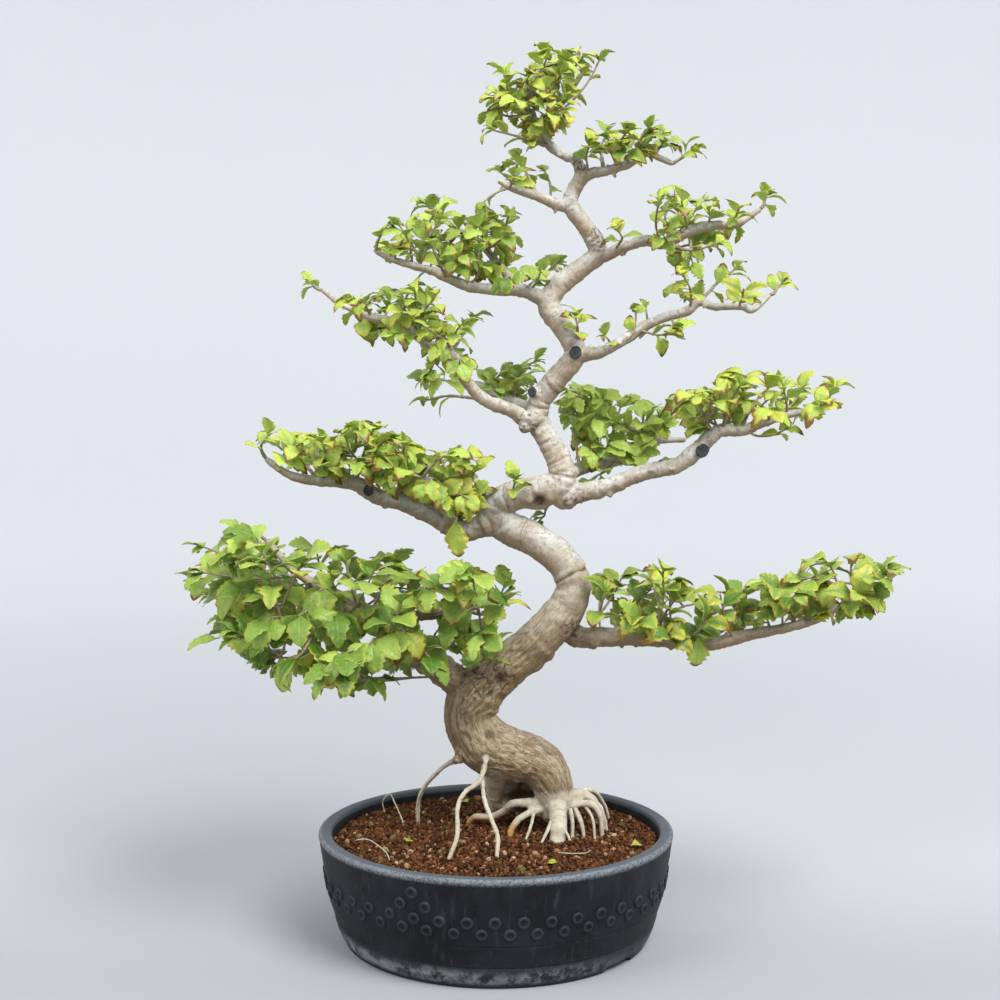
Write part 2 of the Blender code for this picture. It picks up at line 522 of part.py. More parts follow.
class Foliage:
    """Places leaves one after another so that none touches wood, a stem or another leaf."""

    def __init__(self):
        self.wood = wood_segments()
        self.twigs = all_twigs()
        self.stems = {name: stem_segments(twig) for name, twig in self.twigs.items()}
        self.clouds = []
        self.owners = []

    def clear(self, name, cloud):
        """Whether a leaf's points keep their distance from everything placed so far."""
        if reach(cloud, self.wood) < LEAF_WOOD_GAP or cloud[:, 2].min() < POT_HEIGHT:
            return False
        for other, segments in self.stems.items():
            if other != name and reach(cloud, segments) < LEAF_WOOD_GAP:
                return False
        for placed, owner in zip(self.clouds, self.owners):
            apart = np.linalg.norm(cloud[:, None] - placed, axis=2)
            if owner == name:
                apart = apart[NECK_FEELERS:, NECK_FEELERS:]
            if apart.min() < LEAF_LEAF_GAP:
                return False
        return True

    def grow(self, name):
        """The leaves of one twig, from its tip down its stem."""
        *_, length, count = self.twigs[name]
        draw = random.Random(f"{SEED} {name}")
        route = stem_route(self.twigs[name])
        turn = draw.uniform(0, 2 * math.pi)
        leaves = []
        for rank in range(count):
            part = 1 - LEAFY_PART * rank / (count - 1)
            for attempt in range(LEAF_TRIES):
                leaf = self.propose(route, part, turn + attempt * 0.55, length, rank, draw)
                cloud = leaf_cloud(leaf)
                if self.clear(name, cloud):
                    self.clouds.append(cloud)
                    self.owners.append(name)
                    leaves.append(leaf)
                    break
            turn += GOLDEN_ANGLE
        return leaves

    @staticmethod
    def propose(route, part, turn, length, rank, draw):
        """One leaf leaning out from the stem, with its face turned up to the light."""
        place = part * (len(route) - 1)
        step = min(int(place), len(route) - 2)
        base = route[step].lerp(route[step + 1], place - step)
        stem = (route[step + 1] - route[step]).normalized()
        side = stem.orthogonal().normalized()
        out = math.cos(turn) * side + math.sin(turn) * stem.cross(side)
        out.z = max(out.z, -0.35)
        lean = math.radians(draw.uniform(20, 40) + 30 * min(rank / 3, 1))
        way = stem * math.cos(lean) + out.normalized() * math.sin(lean)
        way.z += draw.uniform(-0.25, 0.2)
        way.normalize()
        face = Vector((draw.uniform(-0.5, 0.5), draw.uniform(-0.8, 0.3), 1))
        face = (face - way * face.dot(way)).normalized()
        return base, way, face, length * draw.uniform(0.82, 1.12), draw.uniform(0.1, 0.3)


def make_leaf(leaf):
    """A thin lobed blade, arched over, with its neck sunk in the stem."""
    bm = bmesh.new()
    skins = []
    for level in (0.5, -0.5):
        skins.append([bm.verts.new(leaf_point(leaf, *spot, level * LEAF_THICKNESS) * MM)
                      for spot in LEAF_EDGE])
        for corners in LEAF_FACES:
            bm.faces.new([skins[-1][i] for i in corners])
    upper, lower = skins
    for i, corner in enumerate(upper):
        j = (i + 1) % len(upper)
        bm.faces.new((corner, upper[j], lower[j]))
        bm.faces.new((corner, lower[j], lower[i]))
    bmesh.ops.recalc_face_normals(bm, faces=bm.faces)
    mesh = bpy.data.meshes.new("leaf")
    bm.to_mesh(mesh)
    bm.free()
    body = bpy.data.objects.new("leaf", mesh)
    bpy.context.scene.collection.objects.link(body)
    return body


def make_shoot(shoot, twigs, leaves, bark):
    """A leafy shoot whose stem stands face to face on the bark, with its side twig."""
    route = stem_route(twigs[shoot])
    spot, normal, *_ = bark.find_nearest(route[0].lerp(route[1], 0.6) * MM)
    route[0] = spot / MM + normal * FIT
    rings = tube_rings(stem_tube(route, STEM_BASE_RADIUS), STEM_SIDES, first_axis=normal)
    stem = loft(f"shoot_{shoot}", rings)
    pieces = [make_leaf(leaf) for leaf in leaves[shoot]]
    side = side_name(shoot)
    if side in twigs:
        tube = stem_tube(stem_route(twigs[side]), SIDE_STEM_RADIUS)
        pieces.append(loft("side", tube_rings(tube, STEM_SIDES)))
        pieces += [make_leaf(leaf) for leaf in leaves[side]]
    combine(stem, pieces, "UNION")
    return finish(stem, material("leaf", (0.17, 0.34, 0.05), 0.55))


def surface_of(body):
    """A search tree of a body's skin, in metres."""
    bm = bmesh.new()
    bm.from_mesh(body.data)
    tree = BVHTree.FromBMesh(bm)
    bm.free()
    return tree


def stand_on_origin(bodies):
    """Moves the part so that the origin lies under the middle of its bounding box."""
    corners = np.array([vertex.co for body in bodies for vertex in body.data.vertices])
    low, high = corners.min(0), corners.max(0)
    shift = Vector((-(low[0] + high[0]) / 2, -(low[1] + high[1]) / 2, -low[2]))
    for body in bodies:
        body.location = shift


def main():
    for body in list(bpy.data.objects):
        bpy.data.objects.remove(body)
    wood = make_wood()
    bodies = [make_pot(), make_soil(), wood]
    bodies += [make_paste(name) for name in CUTS]
    bark = surface_of(wood)
    foliage = Foliage()
    leaves = {name: foliage.grow(name) for name in foliage.twigs}
    bodies += [make_shoot(shoot, foliage.twigs, leaves, bark) for shoot in SHOOTS]
    stand_on_origin(bodies)


main()
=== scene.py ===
"""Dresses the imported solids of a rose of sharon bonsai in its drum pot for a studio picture.

The tables are in millimetres from the pot's axis, with the ground at z = 0 and the front of the
tree towards -Y. Every mesh is made in metres about that axis, and its object stands on it.
"""

import random
from math import cos, exp, hypot, log, pi, radians, sin

import bmesh
import bpy
import numpy as np
from bpy.props import FloatProperty, FloatVectorProperty, PointerProperty
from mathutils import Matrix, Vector, kdtree
from mathutils.noise import noise


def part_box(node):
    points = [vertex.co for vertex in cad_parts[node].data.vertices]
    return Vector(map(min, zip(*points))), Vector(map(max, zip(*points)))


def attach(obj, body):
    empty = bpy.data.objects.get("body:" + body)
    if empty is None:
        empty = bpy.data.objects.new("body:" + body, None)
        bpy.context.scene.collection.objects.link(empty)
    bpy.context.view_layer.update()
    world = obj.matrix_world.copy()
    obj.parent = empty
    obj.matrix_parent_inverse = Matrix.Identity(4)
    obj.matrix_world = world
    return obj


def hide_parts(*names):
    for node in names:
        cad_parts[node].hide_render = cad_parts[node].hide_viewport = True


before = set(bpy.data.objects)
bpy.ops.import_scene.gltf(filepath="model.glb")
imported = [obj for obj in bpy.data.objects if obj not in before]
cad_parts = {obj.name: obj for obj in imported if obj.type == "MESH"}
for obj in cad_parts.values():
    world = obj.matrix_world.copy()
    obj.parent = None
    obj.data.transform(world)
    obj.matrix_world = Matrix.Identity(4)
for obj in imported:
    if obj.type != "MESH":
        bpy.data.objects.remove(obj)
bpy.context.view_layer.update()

bl_info = {
    "name": "Rose of sharon bonsai",
    "version": (1, 0, 0),
    "blender": (4, 5, 0),
    "location": "3D View > Sidebar > Bonsai",
    "description": "Dresses a bonsai and its drum pot: bark, leaves, glaze, grit and the stage",
    "category": "Add Mesh",
}

MM = 0.001
SEED = 7
BODY = "root"
POT_LOW, POT_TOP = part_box("pot")
AXIS = Vector(((POT_LOW.x + POT_TOP.x) / 2, (POT_LOW.y + POT_TOP.y) / 2, 0))

# Camera, from the pot's axis: its place in millimetres, its pitch and its lens
CAMERA_PLACE = (4.1, -1494, 525)
CAMERA_PITCH = 3.3
LENS = 54

# Stage, in metres: the sweep's flat floor, the bend behind it and its top, the two lamps with
# their size, and the spot that they shine on
SWEEP_FLAT = 2.2
SWEEP_BEND = 2.6
SWEEP_TOP = 3.4
SWEEP_STEPS = 12
SWEEP_TURNS = 96
LAMPS = {"key": ((1.2, -1.6, 2.6), 1.9), "fill": ((-1.9, -1.3, 1.7), 1.6)}
LIT_SPOT = (0, 0, 0.4)
SKY_COLOUR = (0.93, 0.965, 1, 1)

# Routes of wood as (x, y, z, radius)
TRUNK = {
    "lower": [(60, 12, 116, 15), (60, 12, 136, 19), (54, 12, 156, 22), (39, 12, 172, 24),
        (11, 12, 181, 27), (-14, 12, 194, 28), (-27, 10, 220, 25.5), (-20, 8, 242, 27),
        (2, 5, 263, 22), (28, 0, 286, 20.5), (54, -4, 311, 20.5), (73, -5, 337, 18),
        (77, -4, 359, 17), (62, 0, 382, 16.5), (34, 5, 401, 16.5), (11, 8, 411, 16.5),
        (-4, 8, 426, 14)],
    "upper": [(-2, 8, 418, 13), (0, 8, 432, 15.5), (15, 6, 442, 15), (39, 0, 447, 15),
        (63, -2, 454, 15), (65, 0, 472, 13), (55, 4, 494, 11.5), (43, 8, 515, 10.5),
        (43, 8, 536, 11), (57, 3, 556, 11), (78, -4, 582, 10.5), (70, -3, 604, 10),
        (53, 2, 629, 10.5), (60, 5, 649, 10.5), (86, 5, 670, 9.5), (101, 2, 685, 9.5),
        (89, -2, 708, 8), (74, -3, 728, 8), (76, 0, 743, 7), (86, 3, 760, 7)],
}
LIMBS = {
    "a": [(-28, 8, 246, 17), (-46, 5, 261, 15), (-64, 0, 275, 14), (-84, -8, 289, 12),
        (-107, -18, 307, 9), (-132, -25, 324, 7), (-158, -28, 342, 5.5), (-179, -30, 358, 4.6),
        (-202, -28, 375, 3.9), (-225, -25, 400, 2.6)],
    "a_low": [(-128, -24, 322, 6), (-151, -45, 326, 5.5), (-171, -60, 327, 4.5),
        (-184, -68, 320, 4), (-198, -74, 315, 3)],
    "a_back": [(-110, -17, 309, 6.5), (-127, 15, 324, 5.5), (-156, 45, 336, 4.5),
        (-185, 75, 342, 3)],
    "a_front": [(-86, -9, 292, 7), (-95, -42, 303, 6), (-108, -75, 302, 5), (-125, -98, 297, 3)],
    "a_right": [(-105, -17, 306, 6.5), (-88, 5, 320, 5.5), (-60, 22, 321, 4.5),
        (-32, 32, 324, 3.2)],
    "b": [(60, 5, 320, 13), (82, 8, 301, 10.5), (106, 8, 300, 10), (137, 5, 301, 9),
        (166, 0, 300, 8.5), (190, -4, 297, 7.5), (219, -6, 296, 6.5), (249, -8, 304, 6),
        (273, -10, 309, 5), (298, -10, 314, 4.5), (322, -8, 321, 3.5), (342, -5, 333, 2.6)],
    "c": [(0, 8, 418, 13), (-26, 12, 408, 10.5), (-44, 14, 410, 9.5), (-64, 14, 422, 9),
        (-95, 10, 436, 8.5), (-118, 6, 442, 8), (-139, 0, 455, 7.5), (-157, -3, 458, 6.5),
        (-184, -6, 459, 5), (-204, -8, 464, 4), (-218, -10, 473, 3.4), (-227, -10, 480, 2.6)],
    "c_up": [(-43, 13, 411, 7), (-48, -20, 434, 6), (-57, -35, 455, 4.5), (-71, -45, 463, 3)],
    "d": [(64, -1, 442, 13), (86, -4, 447, 9.5), (112, -10, 453, 8.5), (143, -16, 466, 7.5),
        (178, -20, 474, 7.5), (197, -22, 489, 8), (219, -22, 508, 6.5), (241, -24, 508, 5),
        (261, -26, 516, 4.5), (290, -26, 525, 3.5), (311, -26, 527, 2.6)],
    "e": [(64, 2, 459, 9), (81, 40, 467, 7), (105, 60, 472, 6), (123, 70, 475, 5.5),
        (140, 80, 485, 5), (155, 88, 495, 4.3), (180, 95, 497, 3.4), (200, 98, 497, 2.5)],
    "f": [(42, 8, 514, 8.5), (28, 0, 520, 7.5), (16, -4, 528, 7), (-12, -10, 539, 6),
        (-32, -14, 561, 5.5), (-44, -16, 583, 5), (-68, -18, 594, 4.5), (-86, -20, 608, 4),
        (-96, -20, 615, 4), (-122, -18, 619, 3.5), (-140, -16, 627, 3), (-154, -15, 633, 2.6),
        (-170, -14, 646, 2.2)],
    "g": [(42, 8, 527, 7), (25, 45, 534, 5.5), (4, 75, 544, 5), (-19, 95, 555, 4),
        (-44, 110, 555, 3)],
    "h": [(53, 4, 635, 8), (34, 0, 644, 6.5), (18, -2, 647, 6), (2, -4, 647, 5.5),
        (-26, -8, 650, 5), (-48, -10, 658, 4.5), (-60, -12, 664, 4), (-82, -13, 670, 3.5),
        (-100, -14, 675, 3), (-117, -15, 683, 2.3)],
    "h_up": [(22, -1, 647, 4.5), (10, 12, 664, 4), (-6, 25, 685, 3.5), (-16, 30, 697, 3.3),
        (-39, 35, 711, 2.8), (-58, 38, 726, 2.2)],
    "i": [(77, -4, 580, 8), (93, -8, 584, 6.5), (105, -12, 586, 5.5), (132, -16, 601, 5),
        (149, -18, 612, 5), (166, -20, 619, 4.5), (187, -20, 625, 4.5), (199, -20, 634, 4),
        (213, -22, 629, 3.5), (238, -24, 629, 3), (250, -24, 625, 2.6), (267, -22, 640, 2.2)],
    "j": [(99, 2, 681, 8), (111, 0, 682, 6), (123, -2, 688, 5.5), (147, -5, 695, 5.5),
        (168, -8, 692, 5), (188, -10, 703, 5), (215, -12, 709, 4.5), (233, -14, 709, 3.8),
        (245, -14, 715, 3), (258, -14, 724, 2.3)],
    "k": [(76, -2, 729, 6), (63, -6, 729, 5.5), (51, -12, 733, 5), (36, -18, 738, 4.3),
        (19, -22, 742, 3.4), (3, -25, 750, 2.5)],
    "l": [(86, 3, 758, 6), (79, 2, 775, 5), (71, 0, 777, 4.5), (56, -3, 785, 4.5), (45, -5, 797, 4),
        (40, -6, 810, 3.5), (31, -7, 819, 3), (33, -5, 836, 2.6), (39, -3, 856, 2.3),
        (43, 0, 871, 2)],
    "m": [(85, 3, 757, 5.5), (97, 0, 762, 5), (108, -2, 763, 4.5), (131, -6, 770, 4),
        (147, -8, 780, 3.2), (161, -10, 774, 2.8), (173, -10, 769, 2.4)],
}
ROOTS = {
    "front": [(61, 5, 136, 12), (62, -8, 123, 11), (62, -17, 110, 10), (61, -22, 99, 9)],
    "right": [(70, 12, 136, 8), (91, 16, 136, 6.5), (105, 20, 120, 6), (111, 24, 101, 4.5)],
    "right_low": [(73, 6, 128, 6), (95, 4, 131, 5), (105, 0, 120, 3.5), (107, -2, 102, 3)],
    "right_back": [(81, 20, 138, 4), (100, 40, 135, 3.5), (112, 55, 118, 3), (118, 62, 100, 2.6)],
    "back": [(62, 24, 128, 8), (72, 48, 122, 6), (80, 66, 110, 4.5), (82, 72, 99, 3.5)],
    "back_left": [(50, 24, 128, 7), (36, 48, 118, 5.5), (26, 64, 108, 4.5), (23, 70, 99, 3.5)],
    "left": [(45, 8, 130, 8), (19, 6, 131, 5.5), (9, 14, 121, 5), (-4, 24, 112, 4.5),
        (-22, 33, 109, 3.5), (-29, 36, 101, 3)],
    "left_front": [(48, 4, 126, 6), (28, -2, 120, 5), (17, -6, 110, 4.5), (14, -8, 100, 4)],
    "air_left": [(-30, 8, 182, 5), (-55, 10, 165, 3.2), (-72, 22, 145, 3), (-80, 34, 125, 3),
        (-81, 40, 101, 3)],
    "air_front": [(-9, -8, 188, 5), (-11, -22, 176, 3.5), (-17, -40, 164, 3.2), (-30, -54, 157, 3),
        (-37, -62, 144, 3), (-37, -72, 120, 3), (-44, -79, 100, 3)],
    "air_fork": [(-14, -33, 168, 3), (-11, -48, 148, 3), (-4, -60, 132, 3), (2, -68, 116, 3),
        (1, -75, 100, 3)],
    "leg": [(2, 4, 172, 16), (0, 20, 150, 14), (0, 46, 121, 11), (0, 70, 101, 9.5)],
}

# Pruning cuts: the limb's axis there, the way the cut faces, the wood's radius, the cut's radius
CUTS = {
    "paste_trunk_high": ((80, -4, 584), (-0.15, -1, 0.05), 10.5, 6.5),
    "paste_trunk_low": ((43, 8, 545), (-0.5, -0.85, 0.1), 11, 5.2),
    "paste_limb_left": ((-126, 4, 447), (-0.05, -1, 0.15), 7.8, 5.6),
    "paste_limb_right": ((199, -22, 490), (0.2, -0.96, -0.1), 7.8, 7),
}
CUT_PROUD = 2.4

# No leaf of the picture's own shoots hangs this near a cut, seen from the front
CUT_ROOM = 17

# Leafy shoots: where each leaves its limb, a point on its way and its tip, then its leaves'
# length and how many it bears
SHOOTS = {
    "a1": ((-225, -25, 400), (-240, -32, 409), (-253, -38, 406), 25, 5),
    "a2": ((-202, -28, 375), (-246, 2, 379), (-294, 14, 390), 26, 5),
    "a3": ((-192, -29, 367), (-237, -55, 367), (-278, -66, 373), 27, 5),
    "a4": ((-177, -30, 358), (-238, 25, 331), (-290, 38, 339), 27, 5),
    "a5": ((-198, -74, 315), (-222, -80, 310), (-244, -84, 317), 29, 5),
    "a6": ((-171, -60, 327), (-179, -88, 304), (-193, -98, 292), 29, 5),
    "a7": ((-125, -98, 297), (-140, -110, 289), (-153, -118, 286), 29, 5),
    "a8": ((-132, -25, 324), (-140, -36, 355), (-146, -40, 381), 27, 5),
    "a9": ((-127, 15, 324), (-113, 18, 351), (-105, 14, 371), 26, 5),
    "a11": ((-32, 32, 324), (-4, 34, 323), (8, 26, 348), 25, 5),
    "a12": ((-185, 75, 342), (-208, 88, 357), (-230, 96, 367), 26, 5),
    "b1": ((95, 8, 300), (103, -14, 328), (107, -24, 349), 24, 5),
    "b2": ((125, 6, 301), (141, 34, 322), (157, 48, 341), 24, 5),
    "b3": ((160, 1, 300), (165, -30, 326), (177, -46, 348), 24, 5),
    "b4": ((204, -5, 296), (225, 28, 312), (239, 46, 333), 24, 5),
    "b6": ((293, -10, 313), (315, 22, 334), (334, 36, 355), 24, 5),
    "b7": ((342, -5, 333), (365, -8, 354), (388, -8, 368), 25, 6),
    "c1": ((-227, -10, 480), (-232, -14, 492), (-224, -20, 503), 21, 4),
    "c2": ((-177, -5, 459), (-198, 22, 477), (-228, 36, 496), 22, 4),
    "c4": ((-137, 0, 454), (-146, 22, 476), (-142, 32, 502), 24, 4),
    "c5": ((-100, 9, 437), (-94, -18, 466), (-89, -36, 492), 24, 4),
    "c6": ((-71, -45, 463), (-61, -56, 477), (-47, -62, 485), 23, 4),
    "c7": ((-38, 13, 409), (-28, 12, 438), (-22, 6, 465), 23, 4),
    "d1": ((208, -22, 499), (202, -6, 523), (197, 4, 540), 22, 4),
    "d2": ((222, -22, 508), (224, -46, 532), (233, -58, 551), 22, 4),
    "d3": ((239, -24, 508), (260, 6, 536), (282, 18, 557), 22, 4),
    "d4": ((311, -26, 527), (323, -24, 536), (331, -22, 550), 21, 5),
    "e1": ((86, 45, 468), (83, 62, 502), (77, 70, 531), 22, 4),
    "e2": ((114, 65, 474), (122, 90, 503), (132, 104, 531), 22, 4),
    "e3": ((162, 90, 496), (169, 76, 518), (178, 66, 535), 22, 4),
    "f1": ((-170, -14, 646), (-175, -13, 649), (-181, -12, 652), 17, 3),
    "f3": ((-92, -20, 612), (-91, 4, 634), (-84, 14, 650), 20, 4),
    "f4": ((-44, -16, 583), (-34, 8, 602), (-24, 18, 619), 20, 4),
    "f5": ((-12, -10, 539), (-40, 16, 543), (-67, 28, 539), 20, 4),
    "g1": ((4, 75, 544), (23, 84, 566), (40, 86, 579), 20, 5),
    "h1": ((-117, -15, 683), (-115, -20, 694), (-105, -26, 707), 19, 4),
    "h2": ((-58, 38, 726), (-65, 40, 733), (-71, 40, 737), 19, 4),
    "h3": ((-48, -10, 658), (-54, -38, 671), (-61, -52, 684), 20, 4),
    "h4": ((-10, 27, 689), (4, 12, 701), (12, 4, 718), 20, 4),
    "i1": ((85, -4, 593), (80, -20, 607), (78, -26, 618), 18, 5),
    "i3": ((196, -20, 631), (218, 4, 651), (238, 14, 668), 20, 5),
    "i4": ((267, -22, 640), (273, -21, 645), (279, -20, 651), 17, 3),
    "j2": ((181, -9, 699), (193, 14, 721), (207, 24, 737), 20, 4),
    "j3": ((168, -8, 692), (187, -36, 682), (210, -50, 687), 20, 4),
    "j4": ((258, -14, 724), (262, -14, 731), (264, -14, 737), 19, 5),
    "k1": ((39, -17, 738), (32, -6, 758), (20, 2, 775), 19, 5),
    "l1": ((56, -3, 785), (31, -26, 789), (-2, -38, 796), 19, 4),
    "l2": ((32, -6, 826), (16, 6, 842), (8, 10, 860), 19, 4),
    "l3": ((43, 0, 871), (44, 2, 876), (45, 3, 881), 18, 5),
    "l4": ((44, -5, 804), (69, 10, 835), (86, 18, 860), 19, 4),
    "m1": ((106, -2, 763), (105, 12, 784), (110, 18, 803), 19, 4),
    "m2": ((139, -7, 775), (140, -22, 788), (147, -30, 798), 19, 4),
    "m3": ((173, -10, 769), (182, -10, 775), (190, -10, 782), 19, 5),
}

# Side twigs, a third of the way up a shoot: a point on the way and the tip, then their
# leaves' length and how many they bear
SIDE_TWIGS = {
    "a7": ((-124, -78, 276), (-112, -44, 268), 26, 5),
    "a9": ((-100, 50, 345), (-72, 80, 332), 26, 5),
    "a11": ((-14, -18, 336), (-44, -66, 324), 26, 5),
    "a12": ((-196, 92, 315), (-165, 78, 284), 26, 5),
    "b6": ((286, -22, 345), (264, -44, 358), 24, 5),
}

# Shoots that only the picture's tree has
MORE_SHOOTS = {
    "a10": ((-95, -42, 303), (-74, -70, 301), (-60, -86, 292), 27, 5),
    "c3": ((-157, -3, 458), (-164, -30, 480), (-168, -42, 497), 23, 5),
    "f2": ((-122, -18, 619), (-129, -34, 631), (-138, -46, 634), 20, 5),
    "g2": ((-44, 110, 555), (-60, 116, 563), (-75, 120, 561), 20, 5),
    "h5": ((28, -1, 646), (46, 26, 663), (61, 38, 676), 20, 5),
    "i2": ((141, -17, 607), (154, -44, 599), (168, -60, 604), 19, 5),
    "i5": ((190, -20, 627), (187, -44, 643), (179, -56, 656), 19, 5),
    "j1": ((161, -7, 693), (155, -30, 712), (157, -42, 727), 19, 5),
    "t1": ((19, -8, 439), (18, -22, 450), (19, -30, 460), 18, 4),
    "t2": ((52, 0, 437), (51, 22, 425), (45, 30, 417), 18, 4),
    "a13": ((-46, -6, 263), (-22, -22, 274), (-6, -32, 293), 26, 5),
    "i6": ((111, -14, 588), (112, -22, 595), (107, -26, 600), 17, 2),
    "i7": ((124, -18, 595), (135, -20, 607), (137, -18, 622), 16, 2),
    "i8": ((141, -18, 599), (150, -8, 613), (148, -2, 629), 16, 2),
    "i9": ((172, -19, 618), (172, -40, 609), (170, -46, 604), 17, 3),
    "j5": ((118, -4, 687), (123, -22, 694), (118, -30, 702), 17, 4),
    "j6": ((191, -9, 695), (188, -34, 681), (189, -40, 671), 18, 4),
    "k2": ((52, 2, 735), (54, 10, 748), (49, 14, 765), 16, 3),
    "k3": ((33, -16, 741), (18, -2, 751), (4, 6, 764), 18, 5),
    "k4": ((16, -22, 745), (-4, -30, 735), (-11, -34, 729), 15, 2),
    "m4": ((91, 0, 763), (88, -14, 774), (91, -22, 785), 18, 5),
    "m5": ((149, -8, 781), (159, 10, 794), (165, 18, 804), 18, 5),
    "l5": ((32, -6, 819), (48, -24, 829), (62, -30, 850), 18, 5),
    "l6": ((48, -4, 812), (83, 10, 842), (102, 14, 873), 16, 3),
    "e4": ((122, 56, 474), (108, 40, 463), (96, 34, 457), 20, 5),
    "e5": ((122, 58, 475), (146, 66, 473), (167, 70, 473), 18, 3),
    "f6": ((-55, -16, 587), (-60, -30, 575), (-64, -36, 565), 19, 5),
    "h6": ((-82, -10, 671), (-85, -30, 689), (-92, -38, 705), 19, 5),
    "h7": ((-26, -5, 651), (-17, -28, 666), (-17, -36, 682), 19, 5),
    "d5": ((244, -25, 509), (262, -34, 503), (280, -38, 509), 19, 3),
    "d6": ((268, -25, 519), (289, -6, 530), (303, 2, 548), 20, 5),
}

# Shoots whose leaves hang in front of the limbs: start, a point on the way, tip, leaf length, count
HANGING = {
    "a14": ((-151, -45, 326), (-150, -66, 336), (-152, -82, 334), 30, 6),
    "a15": ((-171, -60, 327), (-176, -80, 338), (-184, -94, 336), 29, 6),
    "a16": ((-95, -42, 303), (-92, -66, 318), (-86, -82, 318), 30, 6),
    "a17": ((-108, -75, 302), (-112, -92, 313), (-116, -106, 312), 31, 6),
    "a18": ((-125, -98, 297), (-134, -112, 305), (-142, -124, 302), 30, 5),
    "a19": ((-132, -25, 324), (-122, -48, 338), (-116, -64, 340), 28, 6),
    "a20": ((-158, -28, 342), (-162, -50, 356), (-168, -64, 356), 27, 6),
    "a21": ((-184, -68, 320), (-202, -84, 332), (-216, -96, 330), 28, 6),
    "a22": ((-64, 0, 275), (-62, -24, 300), (-58, -36, 312), 25, 4),
    "a23": ((-107, -18, 307), (-100, -44, 328), (-98, -58, 332), 28, 6),
    "c8": ((-57, -35, 455), (-60, -52, 462), (-66, -62, 458), 22, 5),
    "c9": ((-48, -20, 434), (-36, -40, 446), (-28, -52, 444), 22, 5),
    "c10": ((-118, 6, 442), (-112, -16, 462), (-110, -28, 464), 22, 5),
    "e6": ((105, 60, 472), (100, 44, 486), (96, 30, 488), 20, 5),
    "e7": ((140, 80, 485), (138, 62, 494), (136, 50, 494), 20, 5),
    "f7": ((-32, -14, 561), (-34, -32, 574), (-34, -42, 574), 19, 4),
    "h8": ((18, -2, 647), (14, -20, 656), (10, -30, 656), 18, 4),
}

# Short stalks where old twigs were cut: the place on the limb's axis, the way out of the bark,
# how far it stands out and its radius
STUBS = [
    ((-142, -34, 326), (0.45, -0.5, 0.75), 22, 3.4), ((199, -22, 490), (0.3, -0.2, -1), 9, 2.4),
    ((150, -17, 468), (-0.2, -0.3, 1), 9, 2.4), ((112, -10, 453), (0.1, -0.5, -1), 10, 3.6),
    ((-110, 8, 440), (-0.2, -0.3, -1), 10, 3), ((-40, -14, 575), (0.5, -0.3, -1), 9, 2.2),
    ((50, 32, 146), (-1, 0.05, -0.15), 42, 12), ((46, 36, 126), (-1, 0.1, -0.1), 38, 12),
    ((42, 2, 522), (-0.8, -0.3, -0.62), 20, 7), ((-30, 4, 180), (-0.8, -0.5, -0.3), 14, 4),
    ((115, -3, 764), (0.3, -0.3, -1), 8, 2.2), ((123, -2, 688), (0.2, -0.4, -1), 8, 2.2),
    ((140, 5, 301), (0.1, -0.3, -1), 10, 2.6), ((176, -2, 299), (-0.1, -0.4, -1), 10, 2.4),
    ((60, -12, 664), (0.1, -0.4, 1), 5, 2),
]

# Each kind of wood: its routes, the step along them, how far apart its knots are and how much
# they swell, how far apart its fine creases are, and its tubes' sides
WOOD_KINDS = {
    "trunk": (TRUNK, 2.5, 60, 0.05, 24, 24),
    "limb": (LIMBS, 1.2, 21, 0.15, 24, 14),
    "root": (ROOTS, 1.2, 12, 0.09, 9, 14),
}

# Roots are drawn thinner than the solid's, the fine ones more so
FINE_ROOT = 7
FINE_ROOT_SHARE = 0.68
THICK_ROOT_SHARE = 0.8
SKIN_ROOM = 0.3
WOOD_TRIANGLES = 152000

# Up to here the trunk's foot is as bare and whitish as its roots
COLLAR = 147

# The trunk's bark is young above this height, and grown this far below it
OLD_TO = 360
OLD_FADE = 80

# How far the bark of one line runs into the next one's
BARK_BLEND = 1.3

# Creases across the wood where it bends: a place on its axis, the depth and the tilt
FOLDS = [
    ((77, -4, 363), 1.3, 0.15), ((56, 3, 556), 0.8, -0.3), ((57, 3, 551), 0.5, -0.2),
    ((44, 8, 539), 0.6, 0.1), ((43, 8, 533), 0.8, -0.2), ((65, 0, 476), 0.5, 0.3),
    ((65, 0, 466), 0.7, -0.3), ((43, 8, 518), 0.6, 0.4), ((76, -4, 590), 0.35, 0.4),
    ((58, 2, 622), 0.4, -0.4), ((96, 0, 695), 0.4, -0.3), ((76, -3, 726), 0.4, 0.5),
    ((30, 5, 403), 0.45, 0.3), ((14, 6, 441), 0.5, -0.3), ((-56, 2, 269), 0.4, 0.2),
]

